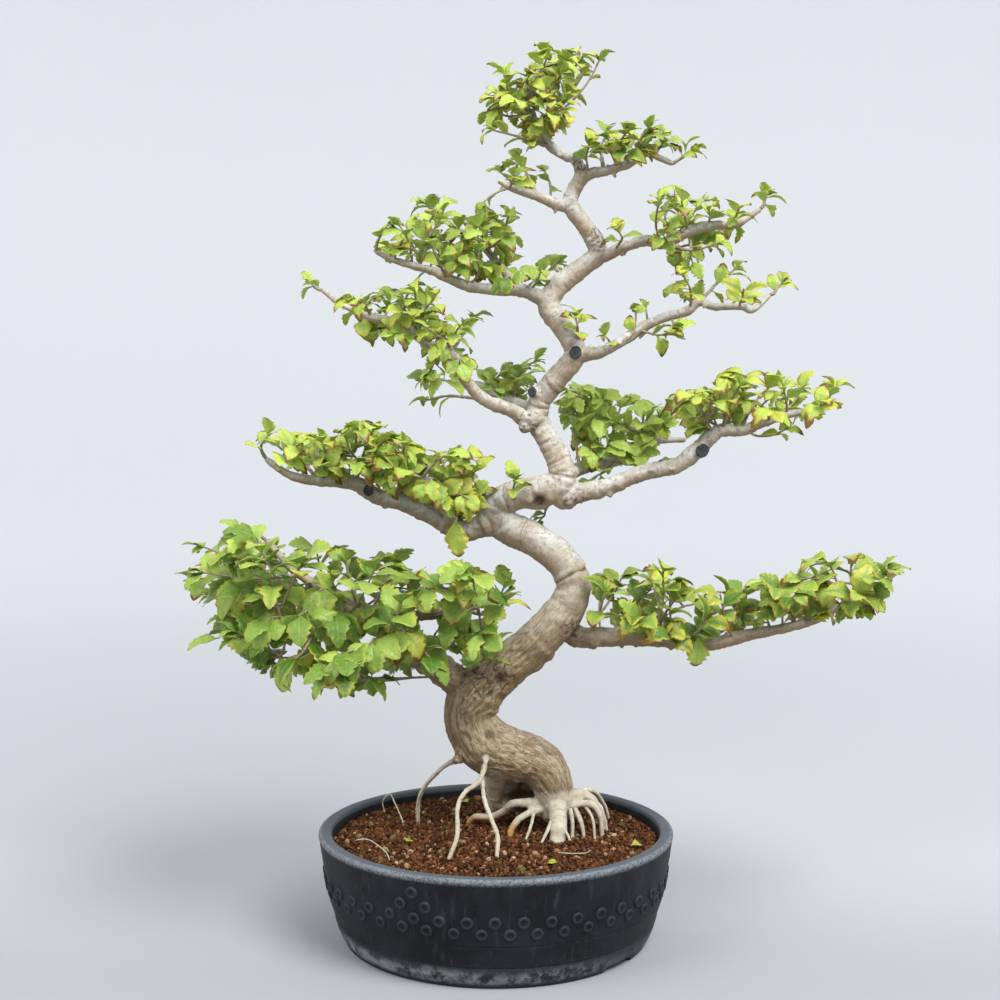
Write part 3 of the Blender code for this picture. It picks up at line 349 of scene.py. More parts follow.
# Places where the wood dips or swells: the place, how wide and how high; the dips are also darkened
# with painted shade
HOLLOWS = [
    ((46, -4, 428), 9, 5), ((43, -13, 438), 6.5, -3.6), ((54, -14, 440), 5, 2.4),
    ((33, -12, 438), 4, 2.2), ((43, -18, 447), 4, 1.6), ((30, 30, 122), 18, -2),
    ((33, -9, 516), 3, -2.4), ((22, -8, 512), 3, 1.6), ((4, -17, 262), 7, -2),
    ((-30, -15, 232), 8, 1.6), ((24, -7, 196), 9, 1.8), ((-6, -12, 205), 6, -1.8),
    ((88, -3, 307), 7, 2.6), ((44, -4, 271), 7, 4), ((52, -6, 280), 5, 2.5), ((43, -12, 170), 4, 2),
    ((33, -12, 168), 4, 1.8), ((38, -13, 169), 2.2, -1.6), ((-37, -2, 183), 6, 3.4),
    ((-28, -8, 176), 5, 2.6), ((8, -3, 159), 5, 2.8), ((20, -2, 156), 5, 2.4),
    ((-4, -4, 166), 6, 3), ((-14, 0, 172), 5, 2.4), ((24, 27, 139), 20, -2),
    ((70, -16, 314), 3, -2.4), ((75, -7, 309), 3, -2.6), ((77, -4, 303), 3, -2.2),
    ((80, 1, 312), 5, 2.4), ((68, -16, 304), 5, 2.2), ((52, -5, 519), 5, 2.4),
]

# The cracked and swirled bark at the joints of limbs: two corners of each place
GNARLED = [
    ((-38, -40, 236), (24, 40, 292)), ((60, -40, 428), (94, 30, 454)),
    ((14, -40, 498), (46, 30, 526)), ((60, -40, 294), (92, 0, 326)),
    ((86, -40, 682), (112, 30, 712)), ((72, -40, 758), (98, 30, 782)),
]

# How wide these creases are, and the fine ones between them
FOLD_WIDTH = 1.9
FINE_WIDTH = 1.2

# Outlines of the leaf pads seen from the front, as (x, z) on the plane through the pot's axis
PADS = {
    "a": [(-324, 399), (-291, 408), (-234, 416), (-208, 397), (-161, 402), (-141, 389), (-112, 391),
        (-78, 373), (-59, 379), (-18, 379), (-4, 354), (7, 363), (33, 338), (4, 322), (14, 298),
        (14, 270), (-16, 283), (-56, 280), (-78, 266), (-104, 266), (-125, 246), (-157, 244),
        (-185, 258), (-207, 270), (-235, 264), (-262, 286), (-275, 303), (-304, 330), (-324, 364),
        (-326, 386)],
    "b": [(87, 334), (94, 367), (122, 373), (144, 371), (172, 377), (204, 359), (224, 354),
        (244, 373), (269, 355), (294, 371), (309, 383), (354, 390), (389, 380), (402, 361),
        (388, 326), (350, 318), (315, 320), (275, 318), (240, 308), (212, 293), (205, 275),
        (189, 293), (155, 303), (114, 310)],
    "c": [(-237, 507), (-218, 511), (-195, 507), (-167, 508), (-138, 522), (-110, 517), (-66, 493),
        (-58, 489), (-40, 496), (-11, 487), (-18, 465), (1, 447), (-14, 424), (-41, 419),
        (-76, 439), (-108, 449), (-125, 467), (-162, 461), (-195, 473), (-215, 477), (-238, 483)],
    "d": [(171, 533), (188, 551), (209, 557), (224, 572), (254, 568), (277, 568), (304, 567),
        (314, 560), (334, 553), (344, 534), (317, 521), (288, 511), (263, 519), (238, 514),
        (208, 507), (193, 496), (183, 514)],
    "e": [(52, 521), (62, 550), (79, 557), (115, 554), (131, 538), (148, 543), (171, 536),
        (183, 507), (158, 497), (171, 481), (144, 471), (116, 469), (99, 456), (74, 484),
        (76, 507)],
    "f": [(-181, 658), (-162, 649), (-127, 651), (-99, 654), (-70, 662), (-55, 652), (-48, 632),
        (-18, 629), (-9, 605), (-41, 598), (-16, 586), (-20, 572), (-46, 566), (-58, 526),
        (-85, 540), (-55, 566), (-80, 586), (-110, 600), (-130, 598), (-154, 622), (-162, 645)],
    "g": [(-26, 570), (4, 573), (30, 591), (40, 576), (57, 567), (49, 553), (34, 532), (9, 538),
        (-14, 550), (-34, 562)],
    "h": [(-128, 709), (-100, 720), (-77, 723), (-55, 738), (-43, 747), (-37, 722), (-18, 730),
        (7, 738), (17, 715), (26, 696), (24, 675), (49, 675), (70, 677), (63, 659), (49, 649),
        (19, 655), (-11, 653), (-45, 665), (-70, 675), (-105, 675), (-122, 688)],
    "i": [(162, 644), (172, 659), (192, 666), (210, 669), (228, 675), (243, 676), (254, 669),
        (269, 663), (281, 649), (286, 635), (262, 637), (237, 631), (212, 625), (192, 637),
        (170, 634)],
    "j": [(142, 704), (138, 714), (157, 724), (154, 738), (157, 751), (183, 753), (196, 738),
        (221, 736), (243, 745), (256, 741), (282, 729), (253, 720), (236, 714), (245, 699),
        (221, 691), (202, 675), (192, 665), (172, 671), (170, 686), (150, 686)],
    "k": [(-23, 783), (-2, 793), (12, 788), (9, 774), (34, 780), (34, 763), (51, 757), (44, 747),
        (19, 745), (0, 755)],
    "l": [(34, 892), (51, 883), (73, 884), (102, 881), (98, 867), (86, 854), (86, 831), (75, 806),
        (55, 799), (39, 784), (24, 784), (16, 811), (-6, 803), (-20, 812), (-16, 830), (-8, 844),
        (-4, 856), (29, 867)],
    "m": [(73, 794), (98, 800), (112, 806), (134, 814), (154, 805), (173, 801), (201, 788),
        (183, 780), (152, 774), (127, 774), (114, 766), (88, 778), (78, 782)],
}

# Leaves: the rule by which the solids' leaves were placed, repeated so that they stay in place
LEAF_LIFT = 0.22
LEAF_WOOD_GAP = 2.6
LEAF_LEAF_GAP = 4.2
LEAF_TRIES = 40
CROWN_LEAVES = 3
CROWN_TRIES = 12
CROWN_SIZE = 0.62
GOLDEN_ANGLE = radians(137.5)
LEAFY_PART = 0.62
STEM_STEPS = 3
STEM_RADIUS = 2.3
POT_HEIGHT = 109
LEAF_FEELERS = [(0.3, 0.2), (0.4, 0.27), (0.5, 0.34), (0.62, 0.24), (0.75, 0.15), (0.9, 0.06),
                (1, 0)]
NECK_FEELERS = 10

# Shoots that fill a pad: each tip is the best of these spots, this far inside the outline
SPOTS = 14
SPOT_TRIES = 400
EDGE_ROOM = 8

# The fine blade, row by row from stalk to tip: where the row leaves the rib, where it meets the
# edge and how far out that is, as parts of the leaf's length, and whether it lies in a notch
LEAF_ROWS = [
    (0, 0, 0.014, 0), (0.1, 0.1, 0.05, 0), (0.2, 0.22, 0.17, 0), (0.31, 0.37, 0.285, 0),
    (0.41, 0.5, 0.345, 0), (0.49, 0.6, 0.355, 0), (0.545, 0.655, 0.285, 1), (0.61, 0.755, 0.31, 0),
    (0.69, 0.8, 0.215, 1), (0.77, 0.885, 0.2, 0), (0.89, 0.96, 0.11, 0), (1, 1, 0.03, 0),
]
LEAF_ACROSS = [-1, -0.5, 0, 0.5, 1]
LEAF_FULL = 1.05

# Each pad: its leaves' length, how far its shoots spread in depth, the room that one cluster of
# leaves takes up, its share of yellow and of brown, and how dark it is, deeper green with painted
# shade
PADS_KEPT = {
    "a": (28, 88, 23.6, 0.18, 0.2, 0.56), "b": (25, 56, 21.6, 0.46, 0.4, 0.6),
    "c": (23, 50, 16.8, 0.46, 0.5, 0.15), "d": (22, 45, 18.8, 0.6, 0.7, -0.35),
    "e": (22, 38, 17, 0.3, 0.12, -0.2), "f": (20, 44, 19.4, 0.42, 0.6, 0.2),
    "g": (20, 36, 17.5, 0.2, 0.25, 0.3), "h": (20, 44, 18.2, 0.42, 0.65, 0.12),
    "i": (19, 38, 17.5, 0.66, 0.75, 0.2), "j": (20, 42, 19.8, 0.52, 0.75, 0.22),
    "k": (18, 30, 17.5, 0.4, 0.6, 0.3), "l": (19, 40, 15, 0.56, 0.75, -0.2),
    "m": (19, 36, 17.4, 0.4, 0.75, 0.5), "t": (18, 20, 20, 0.3, 0.3, 0.3),
}


def spline(route, step):
    """A smooth line through a route's points, as rows of (x, y, z, radius) a step apart."""
    points = np.array(route, float)
    points = np.vstack([2 * points[0] - points[1], points, 2 * points[-1] - points[-2]])
    rows = []
    for before, start, end, after in zip(points, points[1:], points[2:], points[3:]):
        count = max(int(np.linalg.norm(end[:3] - start[:3]) / step), 1)
        t = (np.arange(count) / count)[:, None]
        rows.append(0.5 * (2 * start + (end - before) * t
                           + (2 * before - 5 * start + 4 * end - after) * t ** 2
                           + (3 * start - before - 3 * end + after) * t ** 3))
    rows.append(points[-2:-1])
    line = np.vstack(rows)
    line[:, 3] = np.maximum(line[:, 3], points[:, 3].min() * 0.7)
    return line


def frames(line):
    """The way along a line and two ways across it that turn as little as they can."""
    along = np.gradient(line[:, :3], axis=0)
    along /= np.linalg.norm(along, axis=1)[:, None]
    side = np.cross(along[0], [0.3, 0.2, 1.0])
    sides = []
    for way in along:
        side = side - way * side.dot(way)
        side = side / np.linalg.norm(side)
        sides.append(side)
    sides = np.array(sides)
    return along, sides, np.cross(along, sides)


def ring_faces(rows, count):
    """The faces between rings of points that follow one another."""
    low, i = np.arange(rows - 1)[:, None] * count, np.arange(count)
    j = (i + 1) % count
    quads = np.stack([low + i, low + j, low + j + count, low + i + count], -1)
    return quads.reshape(-1, 4).tolist()


def tube(line, sides):
    """Points and faces of a closed round tube along a line, with rounded ends."""
    along, side, other = frames(line)
    for end, spot in ((0, -1), (-1, 1)):
        cap = line[end].copy()
        cap[:3] += along[end] * spot * cap[3] * 0.45
        cap[3] *= 0.6
        line = np.vstack([cap, line] if end == 0 else [line, cap])
    along, side, other = (np.vstack([v[:1], v, v[-1:]]) for v in (along, side, other))
    turn = 2 * pi * np.arange(sides) / sides
    round_ = side[:, None] * np.cos(turn)[:, None] + other[:, None] * np.sin(turn)[:, None]
    points = (line[:, None, :3] + line[:, None, 3:] * round_).reshape(-1, 3)
    ends = [list(range(sides))[::-1], list(range(len(points) - sides, len(points)))]
    return points, ring_faces(len(line), sides) + ends


def travelled(line):
    """How far each row of a line lies from its start."""
    return np.append(0, np.cumsum(np.linalg.norm(np.diff(line[:, :3], axis=0), axis=1)))


def placed(name, data, location=(0, 0, 0)):
    """A new object of the scene."""
    body = bpy.data.objects.new(name, data)
    bpy.context.scene.collection.objects.link(body)
    body.location = location
    return body


def paint(mesh, key, rows):
    """Keeps four numbers a point as one of the mesh's colours."""
    layer = mesh.attributes.new(key, "FLOAT_COLOR", "POINT")
    layer.data.foreach_set("color", np.asarray(rows, np.float32).ravel())


class Mesh:
    """Points, faces and values at the points, gathered part by part."""

    def __init__(self):
        self.points, self.faces, self.values, self.count = [], [], {}, 0

    def add(self, points, faces, **values):
        self.faces.extend([i + self.count for i in face] for face in faces)
        self.points.append(points)
        self.count += len(points)
        for name, value in values.items():
            rows = np.broadcast_to(np.asarray(value, float), (len(points), 4))
            self.values.setdefault(name, []).append(rows)

    def made(self, name):
        """The mesh in metres, with each value as a colour at the points."""
        mesh = bpy.data.meshes.new(name)
        mesh.from_pydata((np.vstack(self.points) * MM).tolist(), [], self.faces)
        for key, rows in self.values.items():
            paint(mesh, key, np.vstack(rows))
        mesh.update()
        return mesh


def stand(mesh, finish, nodes=()):
    """Puts a finished mesh on the tree's body as a piece that stands for the given nodes."""
    mesh.materials.clear()
    mesh.materials.append(finish)
    mesh.shade_smooth()
    piece = placed(mesh.name, mesh, AXIS)
    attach(piece, BODY)
    if nodes:
        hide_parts(*nodes)
    return piece


def shaped(mesh, *modifiers):
    """The mesh that a list of (kind, settings) modifiers makes of a mesh."""
    body = placed("shaping", mesh)
    for kind, settings in modifiers:
        modifier = body.modifiers.new(kind, kind)
        for key, value in settings.items():
            setattr(modifier, key, value)
    bpy.context.view_layer.update()
    graph = bpy.context.evaluated_depsgraph_get()
    result = bpy.data.meshes.new_from_object(body.evaluated_get(graph))
    name = mesh.name
    bpy.data.objects.remove(body)
    bpy.data.meshes.remove(mesh)
    result.name = name
    return result


def read_points(mesh, of="vertices", key="co"):
    """A mesh's points, or another value of three numbers, in an array."""
    rows = np.empty(len(getattr(mesh, of)) * 3, np.float32)
    getattr(mesh, of).foreach_get(key, rows)
    return rows.reshape(-1, 3).astype(float)


def rooted(route):
    """A root's route with its end carried down into the grit."""
    before, end = Vector(route[-2][:3]), Vector(route[-1][:3])
    way = (end - before).normalized()
    way = Vector((way.x * 0.4, way.y * 0.4, -1)).normalized()
    return route + [(*(end + way * 11), route[-1][3] * 0.9)]


def knotted(line, draw, spacing, height):
    """A line whose radius swells at buds and old scars along it."""
    line = line.copy()
    travel = travelled(line)
    place = draw.uniform(0.3, 1) * spacing
    while place < travel[-1]:
        width = draw.uniform(1.6, 3.2)
        swell = np.exp(-((travel - place) / width) ** 2) * draw.uniform(0.4, 1) * height
        line[:, 3] *= 1 + swell
        nudge = np.array([draw.gauss(0, 1) for _ in range(3)])
        line[:, :3] += (swell * line[:, 3] * 0.45)[:, None] * nudge / np.linalg.norm(nudge)
        place += spacing * draw.uniform(0.55, 1.5)
    return line


class Wood:
    """The smooth lines of trunk, limbs and roots, and where a point lies along and round them."""

    def __init__(self):
        self.lines, self.folds, self.trees = [], {}, []
        for kind, (routes, *laid) in WOOD_KINDS.items():
            rows = []
            for name, route in routes.items():
                name = f"{kind} {name}"
                line = self.add(name, rooted(route) if kind == "root" else route, *laid)
                ways = [[Vector(way) for way in part] for part in frames(line)]
                rows += zip([Vector(row[:3]) for row in line], line[:, 3], travelled(line), *ways,
                            [name] * len(line))
            tree = kdtree.KDTree(len(rows))
            for i, row in enumerate(rows):
                tree.insert(row[0], i)
            tree.balance()
            self.trees.append((tree, rows))
        for spot, depth, tilt in FOLDS:
            _, _, travel, _, _, _, name = max(self.places(Vector(spot)))
            self.folds[name].append((travel, depth, tilt, FOLD_WIDTH))

    def add(self, name, route, step, spacing, swell, gap, sides):
        """Lays one line, with the fine creases that cross its bark."""
        draw = random.Random(f"{SEED} {name}")
        line = knotted(spline(route, step), draw, spacing, swell)
        self.lines.append((name, line, sides))
        end = travelled(line)[-1]
        self.folds[name] = []
        travel = draw.uniform(0.3, 1) * gap
        while travel < end:
            self.folds[name].append((travel, draw.uniform(0.05, 0.28), draw.uniform(-0.5, 0.5),
                                     FINE_WIDTH))
            travel += gap * draw.uniform(0.5, 1.6)
        return line

    def places(self, point):
        """A point's shares of the nearest trunk, limb and root, and its place on each."""
        found = []
        for tree, rows in self.trees:
            _, index, distance = tree.find(point)
            centre, radius, travel, along, side, other, name = rows[index]
            out = point - centre
            found.append((distance - radius, travel + out.dot(along), out.dot(side),
                          out.dot(other), radius, name))
        least = min(row[0] for row in found)
        shares = [exp((least - row[0]) / BARK_BLEND) for row in found]
        return [(share / sum(shares), *row) for share, row in zip(shares, found)]

    def crossing(self, point, name, travel, across):
        """How far off the nearest of the FOLDS lies, in centimetres, up to one."""
        sway = fold_sway(point)
        gaps = [(travel - start + tilt * across + sway) / depth / 10
                for start, depth, tilt, width in self.folds[name] if width == FOLD_WIDTH]
        return min(gaps + [1], key=abs)


def old_bark(point, name):
    """How rough and grown the bark is at a place, from 0 on young wood to 1 at the foot."""
    if name.startswith("root"):
        return 0.8 * min(max((point.z - 150) / 16, 0), 1)
    below = OLD_TO - point.z + 26 * noise(point * 0.04)
    share = min(max(below / OLD_FADE, 0), 1)
    if name.startswith("limb b"):
        return 0.65 * share
    if name.startswith("limb a"):
        return max(0.85 * share, 0.35)
    return share


def fold_sway(point):
    """How far the creases stray along the wood at a point."""
    return 1.6 * noise(point * 0.12)


def groove_at(point, travel, across, folds):
    """How deep the creases across the wood are at a point, less the lips on both their sides."""
    groove, sway = 0, fold_sway(point)
    for start, depth, tilt, width in folds:
        away = (travel - start + tilt * across + sway) / width
        if abs(away) < 6:
            depth *= 0.75 + 0.5 * noise(point * 0.09)
            groove += depth * (exp(-away * away) - 0.6 * exp(-((away - 2.2) / 1.5) ** 2)
                               - 0.5 * exp(-((away + 2.2) / 1.5) ** 2))
    return groove


def relief(point, wood):
    """How far the bark stands out at a point, then its age, its root's share, ridge, and how far
    its creases, cracks and dips are darkened, as darker bark with painted shade.
    """
    height = old = root = ridge = crease_shade_and_dark_bark = 0
    bump = noise(point * 0.16) * 0.5 + noise(point * 0.37) * 0.32
    collar = min(max((COLLAR + 5 * noise(point * 0.11) - point.z) / 6, 0), 1) * (point.x > 26)
    for share, _, travel, across, up, radius, name in wood.places(point):
        if share < 0.04:
            continue
        age = old_bark(point, name)
        warp = noise(point * 0.05) * 2.2
        line = 1 - 2 * abs(noise(Vector((travel * 0.05 + warp, across * 0.2, up * 0.2 + warp))))
        flake = noise(Vector((travel * 0.11, across * 0.42, up * 0.42)) + Vector((0, 9, 0)))
        wrinkle = noise(Vector((travel * 0.5, across * 0.1, up * 0.1)))
        groove = groove_at(point, travel, across, wood.folds[name])
        rough = age * (1.2 * line - 0.6 + 0.55 * flake)
        smooth = (1 - age) * (0.22 * wrinkle + bump) * min(radius / 6, 1)
        lump = noise(point * (0.9 / max(radius, 5))) * radius * 0.09
        height += share * (rough + smooth + lump - groove * min(radius / 9, 1))
        old += share * age * (1 - collar)
        root += share * max(name.startswith("root"), collar)
        ridge += share * (0.5 + 0.5 * line + 0.4 * flake - 0.3)
        # Grooves are darkened: darker bark, with painted shade in them
        crease_shade_and_dark_bark += share * max(groove - 0.15, 0)
    for spot, width, rise in HOLLOWS:
        away = (point - Vector(spot)).length / width
        if away < 2.5:
            height += rise * exp(-away * away)
            # Dips are darkened with painted shade, the deeper the darker
            crease_shade_and_dark_bark += max(-0.42 * rise, 0) * exp(-1.3 * away ** 4)
    for low, high in GNARLED:
        if all(low[i] < point[i] < high[i] for i in range(3)):
            away = sum(((2 * point[i] - low[i] - high[i]) / (high[i] - low[i])) ** 2
                       for i in (0, 2))
            rim = min(max(1.6 - 1.6 * away, 0), 1)
            fine = 9 / (high[0] - low[0])
            spot = Vector((point.x, 0.7 * point.y, 0.6 * point.z)) * fine
            crack = rim * max(1 - 8 * abs(noise(spot)), 0)
            height += rim * (0.9 * noise(point * 0.3) + 0.4) - 14 / (6 + 60 * fine) * crack
            # Cracks and the gnarled patch are darkened: darker bark, with painted shade in the
            # cracks
            crease_shade_and_dark_bark += crack + 0.35 * fine * rim
    return height, (old, root, min(max(ridge, 0), 1), min(crease_shade_and_dark_bark, 1))


def make_wood(wood, grain, finish):
    """One skin over trunk, limbs and roots, with its bark's ridges, wrinkles and knots."""
    body = Mesh()
    for name, line, sides in wood.lines:
        fuller = line.copy()
        if name.startswith("root"):
            fine = line[:, 3].max() < FINE_ROOT
            fuller[:, 3] *= FINE_ROOT_SHARE if fine else THICK_ROOT_SHARE
        fuller[:, 3] += SKIN_ROOM
        body.add(*tube(fuller, sides))
    for place, facing, thick, cut in CUTS.values():
        way = Vector(facing).normalized()
        end = Vector(place) + way * (thick + CUT_PROUD - 0.5 * cut)
        body.add(*tube(spline([(*place, cut * 1.3), (*end, cut * 1.12)], 1.5), 20))
    for place, way, out, radius in STUBS + spurs(wood):
        place, way = Vector(place), Vector(way).normalized()
        route = [(*place, radius * 1.2), (*(place + way * out * 0.6), radius),
                 (*(place + way * out), radius * 0.85)]
        body.add(*tube(spline(route, 1.5), 10))
    skin = shaped(body.made("wood_bark"),
                  ("REMESH", {"mode": "VOXEL", "voxel_size": grain * MM}),
                  ("SMOOTH", {"factor": 0.5, "iterations": 3}))
    points = read_points(skin) / MM
    normals = read_points(skin, "vertex_normals", "vector")
    heights = np.array([relief(Vector(point), wood)[0] for point in points])
    skin.vertices.foreach_set("co", ((points + normals * heights[:, None]) * MM).ravel())
    share = WOOD_TRIANGLES / (2 * len(skin.polygons))
    skin = shaped(skin, ("DECIMATE", {"ratio": min(share, 1)}))
    rows, marks = [], []
    for point in read_points(skin) / MM:
        point = Vector(point)
        _, _, travel, across, up, _, name = max(wood.places(point))
        rows.append((travel * MM, across * MM, up * MM,
                     wood.crossing(point, name, travel, across)))
        marks.append(relief(point, wood)[1])
    paint(skin, "grain", rows)
    paint(skin, "bark", marks)
    return stand(skin, finish, ("wood",))


def spurs(wood):
    """Little knobs along the limbs, where twigs once were."""
    knobs = []
    for name, line, _ in wood.lines:
        if not name.startswith("limb"):
            continue
        draw = random.Random(f"{SEED} spurs {name}")
        _, side, other = frames(line)
        row = draw.randrange(14, 26)
        while row < len(line) - 8:
            turn = draw.uniform(0, 2 * pi)
            way = side[row] * cos(turn) + other[row] * sin(turn)
            knobs.append((line[row, :3], way, line[row, 3] + draw.uniform(0.8, 3.2),
                          draw.uniform(1.5, 2.3)))
            row += draw.randrange(14, 34)
    return knobs


def leaf_point(leaf, along, across):
    """A point of a leaf that arches over along its rib and lifts at its sides."""
    base, way, face, length, droop = leaf
    side = way.cross(face)
    height = length * (LEAF_LIFT * abs(across) - droop * along * along)
    return base + way * (along * length) + side * (across * length) + face * height


def leaf_cloud(leaf):
    """Points spread over a leaf's blade, for telling what it comes close to."""
    return np.array([leaf_point(leaf, along, across * part)
                     for along, across in LEAF_FEELERS for part in (-1, -0.5, 0, 0.5, 1)])


def segments_of(routes):
    """Stretches of (x, y, z, radius) routes as starts, ends and radii."""
    pairs = [(low, high) for route in routes for low, high in zip(route, route[1:])]
    starts = np.array([low[:3] for low, _ in pairs], float)
    ends = np.array([high[:3] for _, high in pairs], float)
    return starts, ends, np.array([max(low[3], high[3]) for low, high in pairs], float)


def reach(points, segments):
    """The least distance from a cloud of points to the skin of a set of segments."""
    starts, ends, radii = segments
    run = ends - starts
    part = np.einsum("psk,sk->ps", points[:, None] - starts, run) / (run * run).sum(1)
    nearest = starts + np.clip(part, 0, 1)[..., None] * run
    return (np.linalg.norm(points[:, None] - nearest, axis=2) - radii).min()


def stem_route(shoot):
    """Points along a shoot's stem, which bends through its middle point."""
    start, middle, tip = (Vector(point) for point in shoot[:3])
    bend = 2 * middle - (start + tip) / 2
    parts = [i / STEM_STEPS for i in range(STEM_STEPS + 1)]
    return [(1 - t) ** 2 * start + 2 * t * (1 - t) * bend + t * t * tip for t in parts]


def all_twigs():
    """The solids' shoots, and then their side twigs with their starts on them."""
    sides = {f"{shoot} side": (stem_route(SHOOTS[shoot])[1], *side)
             for shoot, side in SIDE_TWIGS.items()}
    return SHOOTS | sides


def inside(outline, x, z):
    """Whether a point seen from the front lies within an outline."""
    x0, z0 = outline[:, 0], outline[:, 1]
    x1, z1 = np.roll(x0, -1), np.roll(z0, -1)
    crossing = (z0 > z) != (z1 > z)
    with np.errstate(divide="ignore", invalid="ignore"):
        at = x0 + (z - z0) * (x1 - x0) / (z1 - z0)
    return bool((crossing & (x < at)).sum() % 2)


def from_front(x, z, depth):
    """Where the camera's line through a spot of the pot's plane is at a depth."""
    eye_x, eye_y, eye_z = CAMERA_PLACE
    scale = 1 - depth / eye_y
    return Vector((eye_x + (x - eye_x) * scale, depth, eye_z + (z - eye_z) * scale))


def on_front(point):
    """Where a point shows on the plane through the pot's axis."""
    eye_x, eye_y, eye_z = CAMERA_PLACE
    scale = 1 / (1 - point.y / eye_y)
    return eye_x + (point.x - eye_x) * scale, eye_z + (point.z - eye_z) * scale


def spots_in(outline, middle, depth, draw):
    """Chance spots inside an outline seen from the front, spread round a middle depth."""
    (low_x, low_z), (high_x, high_z) = outline.min(0), outline.max(0)
    spots = []
    for _ in range(SPOT_TRIES):
        at = draw.uniform(low_x, high_x), draw.uniform(low_z, high_z)
        edge = [(at[0] + EDGE_ROOM * cos(t), at[1] + EDGE_ROOM * sin(t)) for t in range(6)]
        if all(inside(outline, *spot) for spot in [at, *edge]):
            spots.append(from_front(*at, middle + depth * draw.uniform(-1, 1)))
        if len(spots) == SPOTS:
            break
    return spots


